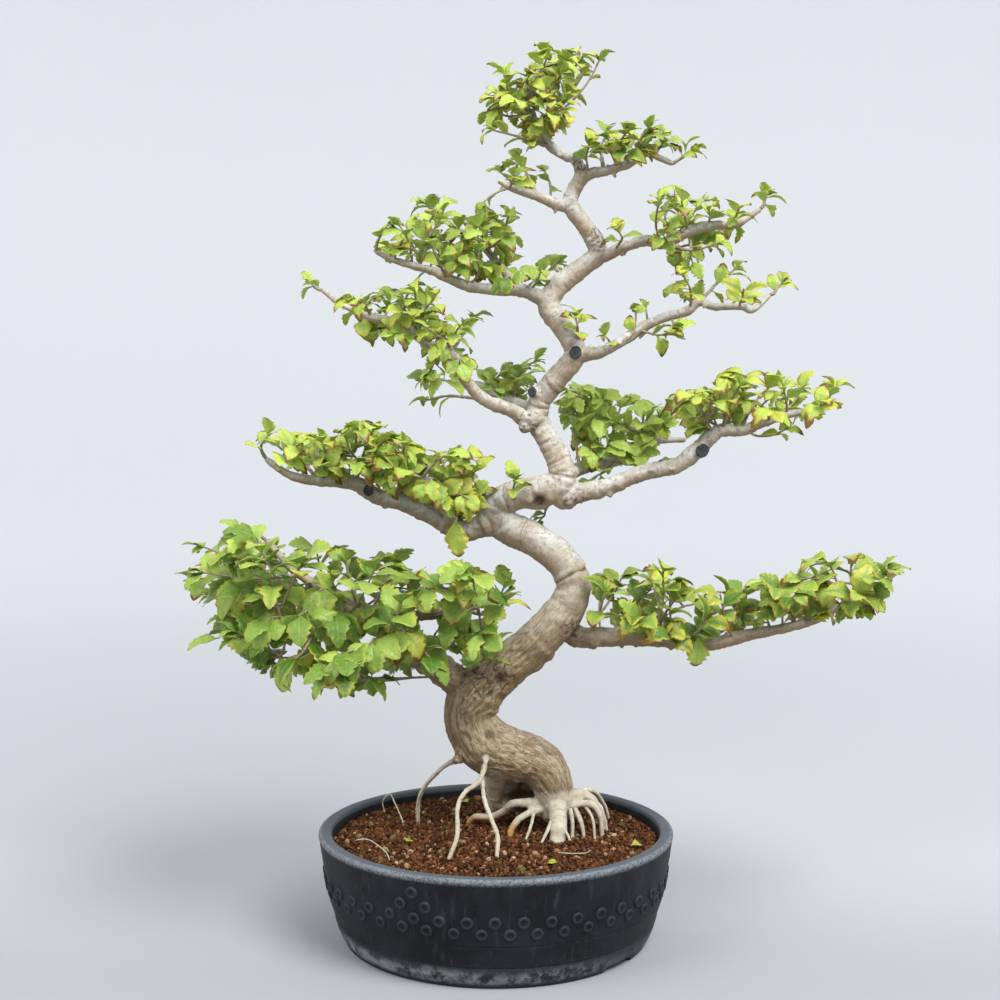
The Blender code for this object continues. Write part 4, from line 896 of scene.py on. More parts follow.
class Foliage:
    """Places shoots and leaves one after another so that none runs into another."""

    ROOM = 4000

    def __init__(self):
        self.wood = segments_of([*TRUNK.values(), *LIMBS.values(), *ROOTS.values()])
        self.clouds = np.empty((self.ROOM, 5 * len(LEAF_FEELERS), 3))
        self.middles = np.full((self.ROOM, 3), 1e6)
        self.spans = np.zeros(self.ROOM)
        self.owners = []
        twigs = all_twigs()
        self.stems = segments_of([[(*p, STEM_RADIUS) for p in stem_route(twig)]
                                  for twig in twigs.values()])
        self.stem_owners = np.repeat(list(twigs), STEM_STEPS)
        self.shoots = {}

    def clear(self, name, cloud, wood_gap, leaf_gap):
        """Whether a leaf's points are clear of everything placed so far."""
        if reach(cloud, self.wood) < wood_gap or cloud[:, 2].min() < POT_HEIGHT:
            return False
        others = self.stem_owners != name
        if reach(cloud, [rows[others] for rows in self.stems]) < wood_gap:
            return False
        middle = cloud.mean(0)
        span = np.linalg.norm(cloud - middle, axis=1).max()
        near = np.linalg.norm(self.middles - middle, axis=1) < self.spans + span + leaf_gap
        for i in np.flatnonzero(near):
            apart = np.linalg.norm(cloud[:, None] - self.clouds[i], axis=2)
            if self.owners[i] == name:
                apart = apart[NECK_FEELERS:, NECK_FEELERS:]
            if apart.min() < leaf_gap:
                return False
        return True

    def kept(self, name, leaf, gaps, outline=None):
        """Keeps a leaf if its tip is in the outline and nothing is in its way."""
        cloud, i = leaf_cloud(leaf), len(self.owners)
        if outline is not None and not inside(outline, *on_front(Vector(cloud[-1]))):
            return False
        if not self.clear(name, cloud, *gaps):
            return False
        self.clouds[i] = cloud
        self.middles[i] = cloud.mean(0)
        self.spans[i] = np.linalg.norm(cloud - self.middles[i], axis=1).max()
        self.owners.append(name)
        return True

    def grow(self, name, shoot, gaps=(LEAF_WOOD_GAP, LEAF_LEAF_GAP), outline=None, hang=0,
             leafy=LEAFY_PART):
        """The leaves of one shoot, from its tip down its stem."""
        *_, length, count = shoot
        draw = random.Random(f"{SEED} {name}")
        route = stem_route(shoot)
        turn = draw.uniform(0, 2 * pi)
        leaves = []
        for rank in range(count):
            part = 1 - leafy * rank / max(count - 1, 1)
            for attempt in range(LEAF_TRIES):
                leaf = self.propose(route, part, turn + attempt * 0.55, length, rank, draw, hang)
                if self.kept(name, leaf, gaps, outline):
                    leaves.append(leaf)
                    break
            turn += GOLDEN_ANGLE
        self.shoots[name] = (shoot, leaves)

    def crown(self, name):
        """Small young leaves that stand round the bud at a shoot's tip."""
        shoot, leaves = self.shoots[name]
        draw = random.Random(f"{SEED} crown {name}")
        route = stem_route(shoot)
        for _ in range(CROWN_LEAVES):
            for _ in range(CROWN_TRIES):
                leaf = self.propose(route, 1, draw.uniform(0, 2 * pi), shoot[3] * CROWN_SIZE,
                                    0, draw, 0)
                if self.kept(name, leaf, (0.8, 1)):
                    leaves.append(leaf)
                    break

    @staticmethod
    def propose(route, part, turn, length, rank, draw, hang):
        """One leaf leaning out from the stem, with its face turned up to the light."""
        place = part * (len(route) - 1)
        step = min(int(place), len(route) - 2)
        base = route[step].lerp(route[step + 1], place - step)
        stem = (route[step + 1] - route[step]).normalized()
        side = stem.orthogonal().normalized()
        out = cos(turn) * side + sin(turn) * stem.cross(side)
        out.z = max(out.z, -0.35)
        lean = radians(draw.uniform(20, 40) + 30 * min(rank / 3, 1))
        way = stem * cos(lean) + out.normalized() * sin(lean)
        way.z += draw.uniform(-0.25, 0.2) - 0.9 * hang
        face = (draw.uniform(-0.5, 0.5), draw.uniform(-0.8, 0.3) - 1.6 * hang, 1)
        length *= draw.uniform(0.82, 1.12)
        return set_leaf(base, way, face, length, draw.uniform(0.1, 0.3))

    def fill(self, pad):
        """More shoots for a pad, spread evenly inside its outline and through its depth."""
        length, depth, room, *_ = PADS_KEPT[pad]
        outline = np.array(PADS[pad], float)
        draw = random.Random(f"{SEED} pad {pad}")
        anchors = [Vector(row[:3]) for name, route in LIMBS.items()
                   if name.split("_")[0] == pad for row in spline(route[1:], 6)]
        tips = [Vector(shoot[2]) for name, (shoot, _) in self.shoots.items() if name[0] == pad]
        middle = sum((anchor.y for anchor in anchors), 0) / len(anchors)
        x, z = outline[:, 0], outline[:, 1]
        area = abs((x * np.roll(z, -1) - np.roll(x, -1) * z).sum()) / 2
        count = int(area / (0.866 * room * room))
        low, high = np.percentile(z, [20, 75])
        for number in range(len(tips), count):
            spots = spots_in(outline, middle, depth, draw)
            if not spots:
                continue
            flat = Vector((1, 0.55, 1))
            tip = max(spots, key=lambda spot: min(((spot - other) * flat).length
                                                  for other in tips + [Vector((0, 900, 0))]))
            start = min(anchors, key=lambda a: (a - tip).length + max(a.z - tip.z + 8, 0))
            run = tip - start
            if not 8 < run.length < 5.5 * length:
                continue
            sag = Vector((0, 0, run.length * draw.uniform(-0.16, 0.1)))
            shoot = (start, start + run * 0.55 + sag, tip, length * draw.uniform(0.92, 1.12),
                     draw.choice((5, 5, 6, 6, 7)))
            name = f"{pad} fill {number}"
            tips.append(tip)
            stem = segments_of([[(*p, 1.5) for p in stem_route(shoot)]])
            self.stems = [np.concatenate(rows) for rows in zip(self.stems, stem)]
            self.stem_owners = np.append(self.stem_owners, [name] * STEM_STEPS)
            hang = min(max((high - on_front(tip)[1]) / (high - low), 0), 1) ** 1.5
            hang *= draw.uniform(0.4, 1) * (1 if pad in "ab" else 0.6)
            self.grow(name, shoot, (1, 1.1), outline, hang,
                      min(22 / max(run.length, 1), LEAFY_PART))
            route = stem_route(shoot)
            if run.length > 30:
                anchors += [route[0].lerp(route[-1], 0.4), route[1]]


def grow_tree():
    """Every leafy shoot: the solids' own, the drawn ones and those that fill pads."""
    foliage = Foliage()
    for name, twig in all_twigs().items():
        foliage.grow(name, twig)
    for name, shoot in MORE_SHOOTS.items():
        foliage.grow(name, shoot, (1.2, 1.6))
    for name, shoot in HANGING.items():
        foliage.grow(name, shoot, (0.8, 1.1), None, 0.85)
    for name in [*SHOOTS, *MORE_SHOOTS]:
        foliage.crown(name)
    for pad in PADS:
        foliage.fill(pad)
    return foliage.shoots


def blade_faces():
    """The faces of one leaf's two skins and of the edge between them."""
    rows, columns = len(LEAF_ROWS), len(LEAF_ACROSS)
    grid = np.arange(rows * columns).reshape(rows, columns)
    faces = []
    for a in grid[:-1, :-1].ravel().tolist():
        corners = (a, a + 1, a + 1 + columns, a + columns)
        faces += [corners, [i + grid.size for i in reversed(corners)]]
    border = np.hstack([grid[0], grid[1:, -1], grid[-1, -2::-1], grid[-2:0:-1, 0]]).tolist()
    for here, there in zip(border, border[1:] + border[:1]):
        faces.append((there, here, here + grid.size, there + grid.size))
    return faces


def blade_points(leaf, tone, thickness, draw):
    """The points of a leaf's two skins, and each one's place on the blade."""
    base, way, face, length, droop = leaf
    way, face, base = np.array(way), np.array(face), np.array(base)
    side = np.cross(way, face)
    rib, edge, out, notch = (np.array(column)[:, None] for column in zip(*LEAF_ROWS))
    across = np.array(LEAF_ACROSS)[None, :]
    share = abs(across)
    brown = tone[1]
    width = draw.uniform(0.8, 1.22)
    out = out * (1 - notch * draw.uniform(-0.12, 0.3))
    fold = LEAF_LIFT * draw.uniform(0.3, 1.5)
    length *= LEAF_FULL
    sway, twist = draw.uniform(-0.09, 0.09), draw.uniform(-0.25, 0.25)
    wave, phase, beat = draw.uniform(0.015, 0.045), draw.uniform(0, 6.3), draw.uniform(8, 13)
    curl = 0.15 + 0.6 * draw.random() ** 2 + 1.1 * max(brown - 0.5, 0)
    uneven = np.array([[draw.uniform(0.9, 1.1) for _ in (0, 1)] for _ in LEAF_ROWS])
    uneven = np.where(across < 0, uneven[:, :1], uneven[:, 1:])
    along = rib + (edge - rib) * share ** 1.15
    over = out * across * width * uneven
    height = (fold * abs(over) - droop * along ** 2 - curl * np.maximum(along - 0.5, 0) ** 2 * 1.9
              + wave * share ** 2 * np.sin(along * beat + phase + 1.7 * np.sign(across))
              + twist * over * along + 0.018 * np.sin(share * pi) * np.sin(rib * 26))
    over = over + sway * along ** 2
    along = along - 0.5 * curl * np.maximum(along - 0.62, 0) ** 2
    spots = (base + length * (along[..., None] * way + over[..., None] * side
                              + height[..., None] * face))
    thick = thickness * (0.5 - 0.2 * share) * np.ones_like(rib)
    thick = thick + np.where((share == 0) & (rib < 0.7), 0.16, 0) + np.where(rib < 0.1, 0.3, 0)
    points = [(spots + sign * thick[..., None] * face).reshape(-1, 3) for sign in (1, -1)]
    place = np.stack(np.broadcast_arrays(along, share, rib, draw.random()), -1).reshape(-1, 4)
    under = place.copy()
    place[:, 3], under[:, 3] = 1, 0
    return np.vstack(points), np.vstack([place, under])


def add_leaf(body, leaf, tone, thickness, draw):
    """Adds one fine leaf to a mesh."""
    points, place = blade_points(leaf, tone, thickness, draw)
    body.add(points, blade_faces(), place=place, tone=tone)


def set_leaf(base, way, face, length, droop):
    """A leaf that grows from its base along a way, with its face square to it."""
    way, face = Vector(way).normalized(), Vector(face)
    return Vector(base), way, (face - way * face.dot(way)).normalized(), length, droop


def leaf_tone(pad, draw):
    """How yellow, how browned, how dark (its deeper green with painted shade) and how grown a leaf
    is, in its pad.
    """
    *_, yellow, brown, dark = PADS_KEPT[pad]
    pick = draw.random()
    if pick < 0.035 + 0.06 * yellow:
        return 1, draw.uniform(0.3, 0.9), 0.1, 1
    return (min(max(draw.gauss(yellow, 0.16), 0), 0.8),
            draw.uniform(0.45, 1) if draw.random() < brown else draw.uniform(0, 0.3),
            min(max(draw.gauss(dark, 0.25), 0), 1), draw.random())


# Leaves that hang alone: pad, base, way, face, length, yellow, brown
LONE_LEAVES = [
    ("c", (-40, -18, 421), (0.02, -0.12, -1), (0.05, -1, 0.1), 36, 0.9, 0.5),
    ("b", (198, -34, 306), (-0.02, -0.1, -1), (0.1, -1, 0.15), 28, 0.5, 0.6),
    ("a", (-196, -60, 279), (-0.55, -0.1, -0.8), (-0.2, -0.8, 0.6), 24, 0.1, 0.6),
    ("a", (-270, -38, 306), (-0.95, -0.1, -0.2), (0, -0.3, 1), 32, 0.1, 0.1),
]


def make_leaves(pad, shoots, thickness, finish):
    """All of a pad's leaves as thin blades with teeth, ribs and curled tips."""
    body = Mesh()
    draw = random.Random(f"{SEED} blades {pad}")
    heights = [leaf[0].z for _, leaves in shoots.values() for leaf in leaves]
    low, high = min(heights), max(heights) + 1
    cuts = [Vector(place) for place, *_ in CUTS.values()]
    for name, (_, leaves) in shoots.items():
        mood = draw.uniform(-0.12, 0.12)
        for leaf in leaves:
            middle = leaf[0] + leaf[1] * (0.5 * leaf[3])
            if name not in SHOOTS and any(
                    hypot(middle.x - cut.x, middle.z - cut.z) < CUT_ROOM for cut in cuts):
                continue
            yellow, brown, dark, old = leaf_tone(pad, draw)
            # Lower leaves in a pad are darker: older leaves, with painted shade from the leaves
            # above
            sunk_age_and_shade = (high - leaf[0].z) / (high - low) - 0.4
            tone = (min(max(yellow + mood, 0), 1), brown, min(max(dark + 0.55 * sunk_age_and_shade, 0), 1), old)
            add_leaf(body, leaf, tone, thickness, draw)
    for home, base, way, face, length, yellow, brown in LONE_LEAVES:
        if home == pad:
            leaf = set_leaf(base, way, face, length, 0.08)
            add_leaf(body, leaf, (yellow, brown, 0.2, 0.8), thickness, draw)
    nodes = [f"shoot_{name}" for name in shoots if name in SHOOTS]
    return stand(body.made(f"leaves_{pad}"), finish, nodes)


def make_twigs(pad, shoots, finish):
    """The thin pale twigs that carry a pad's leaves, with their buds."""
    body = Mesh()
    draw = random.Random(f"{SEED} twigs {pad}")
    for name, (shoot, _) in shoots.items():
        route = stem_route(shoot)
        wobble = [Vector([draw.gauss(0, 0.8) for _ in range(3)]) for _ in route]
        wobble[0] = wobble[-1] = Vector()
        thick = 1.75 if name in SHOOTS else 1.2
        line = [(*(point + nudge), thick - i * (thick - 0.8) / STEM_STEPS)
                for i, (point, nudge) in enumerate(zip(route, wobble))]
        way = (route[-1] - route[-2]).normalized()
        line.append((*(route[-1] + way * 2.5), 0.5))
        smooth = knotted(spline(line, 3.5), draw, 8, 0.45)
        points, faces = tube(smooth, 6)
        travel = np.repeat(np.linspace(0, 1, len(points) // 6), 6)
        body.add(points, faces, grain=np.insert(points * MM, 3, 1, 1),
                 bark=[(0.75, 0, 0.5, 0.16 * part) for part in travel])
    return stand(body.made(f"twigs_{pad}"), finish)


# The pot: its outer side from the rim down, and what it shares with the solids
POT_INSIDE = [
    (20, 12), (60, 12), (100, 12), (135, 12), (146, 12), (150, 32), (156, 62), (161.4, 88.5),
    (164.6, 104.5), (165.1, 107.4), (166, 108.6), (167.6, 109),
]
POT_OUTSIDE = [
    (174, 109), (176, 108.8), (177.4, 107.9), (178, 106.4), (177.9, 104.6), (177.3, 103.4),
    (176.9, 102.6), (176.8, 100), (176.1, 95), (175.4, 90), (174.2, 82), (172.8, 74), (171, 64),
    (169, 54), (168, 46), (167.7, 44.5), (167, 43.8), (167.3, 43), (166.8, 41.6), (165.5, 38),
    (163, 30), (162.2, 25.2), (161.7, 23.4), (160.2, 22.3), (160.7, 21), (159.8, 17), (156.5, 9),
    (153.6, 4), (152.2, 1.2), (151, 0.2), (149.8, 0), (139.4, 0), (137.8, 0.5), (136.9, 3),
    (136.5, 5), (120, 5), (60, 5), (20, 5),
]
POT_TURNS = 336
NOTCHES = (50, 230)
NOTCH_HALF = 20
NOTCH_HEIGHT = 5.5
DRAIN_RADIUS = 10
DRAIN_CIRCLE = 75
STUDS_PER_ROW = 42
STUD_ROWS = (56.5, 67.5, 79.5, 92)
PEAKS = (-25.7, 94.3, 214.3)
STUD_PROFILE = [
    (6.3, -1.6), (6.2, 0), (5.8, 1), (5.1, 1.7), (4.2, 1.9), (3.3, 1.45), (2.4, 0.85), (1.2, 0.6),
]
# Painted highlight on each stud, one share for each ring of STUD_PROFILE
STUD_SHINE = [0, 0.3, 0.8, 1, 0.9, 0.4, 0, 0]
STUD_SIDES = 14
STUD_LEAN = 0.15

SOIL_EDGE = 97.5
SOIL_MOUND = 4
SOIL_RADIUS = 162.9
SOIL_FLOOR = (145.7, 12.3)
SOIL_RINGS = 34
SOIL_TURNS = 126
BED_DEPTH = 1.2

# Fine rootlets and threads that only the picture's tree has, as (x, y, z, radius)
ROOTLETS = [
    [(75, 0, 126, 2.4), (77, -6, 111, 2), (76, -11, 97, 1.8)],
    [(80, 2, 126, 2.4), (86, -3, 113, 2), (89, -6, 97, 1.6)],
    [(-119, 86, 100, 0.6), (-121, 85, 112, 0.6), (-113, 80, 121, 0.6), (-107, 70, 114, 0.6),
     (-98, 45, 104, 0.6), (-94, 25, 98, 0.5)],
    [(-141, -20, 98, 0.6), (-137, -25, 102, 0.6), (-125, -30, 103, 0.6), (-107, -65, 102, 0.55),
     (-101, -85, 99, 0.5)],
    [(88, 10, 130, 1.6), (97, -8, 119, 1.3), (99, -14, 99, 1.1)],
    [(56, -14, 118, 1.8), (50, -24, 108, 1.5), (44, -30, 98, 1.3)],
    [(66, -18, 114, 1.5), (72, -26, 106, 1.2), (74, -30, 98, 1.1)],
    [(38, -2, 122, 1.6), (34, -16, 110, 1.3), (28, -24, 98, 1.1)],
    [(60, -70, 102.6, 0.5), (72, -78, 104, 0.5), (86, -74, 103.2, 0.45), (92, -62, 102.4, 0.4)],
]

# Dry leaf bits on the grit: place, way, length, yellow, brown
LEAF_BITS = [
    ((132, -50, 103.5), (0.8, 0.5, 0.1), 15, 1, 0.35),
    ((58, -105, 103.4), (-0.9, 0.3, 0.1), 12, 0.9, 1),
    ((-88, -40, 104.6), (0.3, 0.9, 0.05), 11, 0.9, 0.9),
    ((-30, 110, 104.6), (-0.6, 0.7, 0.1), 14, 0.8, 1),
]


def turned(profile, count, wave=None):
    """Rings of points round the pot's axis for a profile of (radius, height)."""
    turn = 2 * pi * (np.arange(count) + 0.5) / count
    radius, height = (np.array(column, float)[:, None] for column in zip(*profile))
    z = height + (wave(turn[None, :], radius, height) if wave else 0)
    return np.stack([radius * np.sin(turn), -radius * np.cos(turn),
                     np.broadcast_to(z, (len(profile), count))], -1)


def closed_rings(rings):
    """Points and faces of a closed skin through rings of points, filled at both ends."""
    rows, count, _ = rings.shape
    points = np.vstack([rings.reshape(-1, 3), rings[0].mean(0), rings[-1].mean(0)])
    first, start = rows * count, (rows - 1) * count
    pairs = [(i, (i + 1) % count) for i in range(count)]
    return points, (ring_faces(rows, count) + [(first, b, a) for a, b in pairs]
                    + [(first + 1, start + a, start + b) for a, b in pairs])


def set_on(profile, place, way, sides, wander=None):
    """A small turned body that stands on a place along a way."""
    way = Vector(way).normalized()
    side = way.orthogonal().normalized()
    rings = []
    for radius, height in profile:
        ring = []
        for k in range(sides):
            turn = 2 * pi * k / sides
            out = cos(turn) * side + sin(turn) * way.cross(side)
            ring.append(Vector(place) + way * height
                        + out * (radius * (wander(turn) if wander else 1)))
        rings.append(ring)
    return closed_rings(np.array(rings))


def notch_lift(turn, radius, height):
    """How far the foot's edge is lifted over its notches."""
    azimuth = np.degrees(turn)
    lift = 0
    for notch in NOTCHES:
        away = np.abs((azimuth - notch + 180) % 360 - 180) * np.radians(1) * 150
        lift = lift + np.clip((NOTCH_HALF + 1.5 - away) / 3, 0, 1)
    low = (height < NOTCH_HEIGHT) & (radius > 130)
    return np.where(low, np.clip(NOTCH_HEIGHT * lift - height, 0, None), 0)


def wall_at(height):
    """The pot's outer radius at a height, and its slope there."""
    for (upper, top), (lower, bottom) in zip(POT_OUTSIDE, POT_OUTSIDE[1:]):
        if bottom <= height <= top:
            part = (height - bottom) / (top - bottom)
            return lower + part * (upper - lower), (upper - lower) / (top - bottom)
    raise ValueError("height off the pot's wall")


def make_pot(finish):
    """The pot with its lip, grooves, notched foot and drain holes, and its ring-like studs."""
    wall = Mesh()
    wall.add(*closed_rings(turned(POT_INSIDE + POT_OUTSIDE, POT_TURNS, notch_lift)))
    holes = Mesh()
    for k in range(3):
        turn = radians(120 * k + 30)
        place = (DRAIN_CIRCLE * sin(turn), DRAIN_CIRCLE * cos(turn), 0)
        holes.add(*set_on([(DRAIN_RADIUS, -4), (DRAIN_RADIUS, 20)], place, (0, 0, 1), 40))
    cutter = placed("drain_holes", holes.made("drain_holes"))
    mesh = wall.made("pot_wall")
    fix_normals(mesh)
    fix_normals(cutter.data)
    mesh = shaped(mesh, ("BOOLEAN", {"operation": "DIFFERENCE", "object": cutter,
                                     "solver": "EXACT"}))
    bpy.data.objects.remove(cutter)
    body = Mesh()
    body.add(read_points(mesh) / MM, [list(face.vertices) for face in mesh.polygons],
             boss=(0, 0, 0, 1))
    bpy.data.meshes.remove(mesh)
    draw = random.Random(f"{SEED} studs")
    pitch = 360 / STUDS_PER_ROW
    spots = [(i * pitch + shift * pitch, STUD_ROWS[row])
             for row, shift in ((0, 0.5), (1, 0)) for i in range(STUDS_PER_ROW)]
    for peak in PEAKS:
        spots += [(peak - pitch / 2, STUD_ROWS[2]), (peak + pitch / 2, STUD_ROWS[2]),
                  (peak, STUD_ROWS[3])]
    for azimuth, height in spots:
        height += draw.uniform(-0.5, 0.5)
        radius, slope = wall_at(height)
        turn = radians(azimuth + draw.uniform(-STUD_LEAN, STUD_LEAN))
        out = (sin(turn), -cos(turn), -slope)
        scale = draw.uniform(0.92, 1.03)
        profile = [(r * scale, h) for r, h in STUD_PROFILE]
        place = (radius * out[0], radius * out[1], height)
        pick = draw.random()
        body.add(*set_on(profile, place, out, STUD_SIDES), boss=[
            (shine, pick, 0, 1) for shine in [*np.repeat(STUD_SHINE, STUD_SIDES), 0, 0]])
    mesh = body.made("pot_glazed")
    fix_normals(mesh)
    piece = stand(mesh, finish, ("pot",))
    mesh.set_sharp_from_angle(angle=radians(50))
    return piece


def fix_normals(mesh):
    """Turns every face outwards."""
    bm = bmesh.new()
    bm.from_mesh(mesh)
    bmesh.ops.recalc_face_normals(bm, faces=bm.faces)
    bm.to_mesh(mesh)
    bm.free()


def soil_top(x, y):
    """The height of the grit's bed at a place."""
    part = (x * x + y * y) / SOIL_RADIUS ** 2
    bump = noise(Vector((x * 0.045, y * 0.045, 3))) * 1.5 + noise(Vector((x * 0.15, y * 0.15, 8)))
    return SOIL_EDGE + SOIL_MOUND * (1 - part) + bump * (1 - part * 0.6)


def make_soil_bed(finish):
    """The bed under the loose grains: one uneven body that fills the pot."""
    radii = [SOIL_RADIUS * k / SOIL_RINGS for k in range(SOIL_RINGS, 0, -1)]
    rings = turned([SOIL_FLOOR] + [(radius, SOIL_EDGE) for radius in radii], SOIL_TURNS)
    for ring in rings[1:]:
        for point in ring:
            point[2] = soil_top(point[0], point[1]) - BED_DEPTH
    body = Mesh()
    body.add(*closed_rings(rings))
    mesh = body.made("soil_bed")
    fix_normals(mesh)
    return stand(mesh, finish, ("soil",))


# Grains: the spread of their radii, how close their rows are, which are tan and how much larger
GRAIN_MIDDLE = 1.78
GRAIN_SPREAD = 0.3
GRAIN_LIMITS = (1.1, 3.4)
GRAIN_ROWS = 0.866
TAN_GRAINS = 0.955
TAN_SIZE = 1.35

GOLDEN = (1 + 5 ** 0.5) / 2
GRAIN_POINTS = np.array([np.roll((a, b, 0), turn) for turn in range(3)
                         for b in (GOLDEN, -GOLDEN) for a in (-1, 1)]) / hypot(1, GOLDEN)
GRAIN_FACES = np.array([
    (0, 11, 5), (0, 5, 1), (0, 1, 7), (0, 7, 10), (0, 10, 11), (1, 5, 9), (5, 11, 4), (11, 10, 2),
    (10, 7, 6), (7, 1, 8), (3, 9, 4), (3, 4, 2), (3, 2, 6), (3, 6, 8), (3, 8, 9), (4, 9, 5),
    (2, 4, 11), (6, 2, 10), (8, 6, 7), (9, 8, 1)])


def grains(centres, sizes, chance):
    """Angular grains, each an uneven twenty-sided stone turned its own way."""
    count = len(centres)
    turn, _ = np.linalg.qr(chance.normal(size=(count, 3, 3)))
    turn[:, :, 0] *= np.sign(np.linalg.det(turn))[:, None]
    shape = GRAIN_POINTS[None] * chance.uniform(0.74, 1.2, (count, 12, 1))
    shape = shape * chance.uniform(0.68, 1.2, (count, 1, 3))
    points = np.einsum("gpi,gij->gpj", shape, turn) * sizes[:, None, None] + centres[:, None]
    faces = (GRAIN_FACES[None] + 12 * np.arange(count)[:, None, None]).reshape(-1, 3)
    return points.reshape(-1, 3), faces.tolist()


def make_grit(step, finish):
    """Loose cinder grains, tan pebbles and specks of moss spread over the bed."""
    chance = np.random.default_rng(SEED)
    count = int(2 * SOIL_RADIUS / step)
    i, j = np.meshgrid(np.arange(count), np.arange(int(count / GRAIN_ROWS)))
    x = ((i + 0.5 * (j % 2)) * step - SOIL_RADIUS).ravel()
    y = (j * step * GRAIN_ROWS - SOIL_RADIUS).ravel()
    x, y = (v + chance.uniform(-0.45, 0.45, v.size) * step for v in (x, y))
    sizes = np.clip(chance.lognormal(log(GRAIN_MIDDLE), GRAIN_SPREAD, x.size), *GRAIN_LIMITS)
    keep = np.hypot(x, y) + sizes < SOIL_RADIUS + 0.8
    for route in ROOTS.values():
        gx, gy, _, radius = route[-1]
        keep &= np.hypot(x - gx, y - gy) > radius + 0.6 * sizes
    x, y, sizes = x[keep], y[keep], sizes[keep]
    tone = chance.uniform(0, 1, (len(x), 4))
    sizes = np.where(tone[:, 0] > TAN_GRAINS, sizes * TAN_SIZE, sizes)
    z = np.array([soil_top(*spot) for spot in zip(x, y)])
    centres = np.column_stack([x, y, z + chance.uniform(-0.7, 1.1, x.size)])
    points, faces = grains(centres, sizes, chance)
    body = Mesh()
    body.add(points, faces, tone=np.repeat(tone, 12, axis=0))
    piece = stand(body.made("grit"), finish)
    piece.data.shade_flat()
    return piece


def make_litter(leaf_finish, bark_finish):
    """Dry leaf bits on the grit, and the fine roots and threads that grow into it."""
    draw = random.Random(f"{SEED} litter")
    body = Mesh()
    for base, way, length, yellow, brown in LEAF_BITS:
        leaf = set_leaf(base, way, (0.15, -0.2, 1), length, 0.2)
        add_leaf(body, leaf, (yellow, brown, 0.5, 1), 0.6, draw)
    bits = stand(body.made("dry_leaves"), leaf_finish)
    body = Mesh()
    for route in ROOTLETS:
        line = spline(route, 1.5)
        if route[0][3] > 1:
            line = knotted(line, draw, 6, 0.25)
        points, faces = tube(line, 8)
        body.add(points, faces, grain=np.insert(points * MM, 3, 1, 1), bark=(0, 1, 0.1, 0))
    return bits, stand(body.made("rootlets"), bark_finish)


def make_seal(name, finish):
    """A dried plug of wound paste, drawn up in a ring with a dip in the middle."""
    place, facing, thick, cut = CUTS[name]
    way = Vector(facing).normalized()
    start = Vector(place) + way * (thick + CUT_PROUD)
    draw = random.Random(f"{SEED} {name}")
    phase = [draw.uniform(0, 6.3) for _ in range(3)]

    def wander(turn):
        return 1 + 0.05 * sin(2 * turn + phase[0]) + 0.03 * sin(5 * turn + phase[1])

    profile = [(0.72 * cut, -1.4), (0.9 * cut, -0.6), (0.98 * cut, 0.4), (0.97 * cut, 1.2),
               (0.88 * cut, 1.9), (0.74 * cut, 2.3), (0.58 * cut, 2), (0.42 * cut, 1.5),
               (0.26 * cut, 1.7), (0.1 * cut, 1.5)]
    mesh = Mesh()
    mesh.add(*set_on(profile, start, way, 32, wander))
    made = mesh.made(name.replace("paste", "seal"))
    fix_normals(made)
    return stand(made, finish, (name,))


class Value:
    """A socket of a shader that can stand in Python sums."""

    def __init__(self, shader, socket):
        self.shader, self.socket = shader, socket

    def math(self, operation, *others, clamp=False):
        return self.shader.node("Math", {"operation": operation, "use_clamp": clamp},
                                dict(enumerate((self, *others))))

    def __add__(self, other):
        return self.math("ADD", other)

    __radd__ = __add__

    def __sub__(self, other):
        return self.math("SUBTRACT", other)

    def __rsub__(self, other):
        return self.shader.node("Math", {"operation": "SUBTRACT"}, {0: other, 1: self})

    def __mul__(self, other):
        return self.math("MULTIPLY", other)

    __rmul__ = __mul__

    def clamped(self):
        return self.math("ADD", 0, clamp=True)


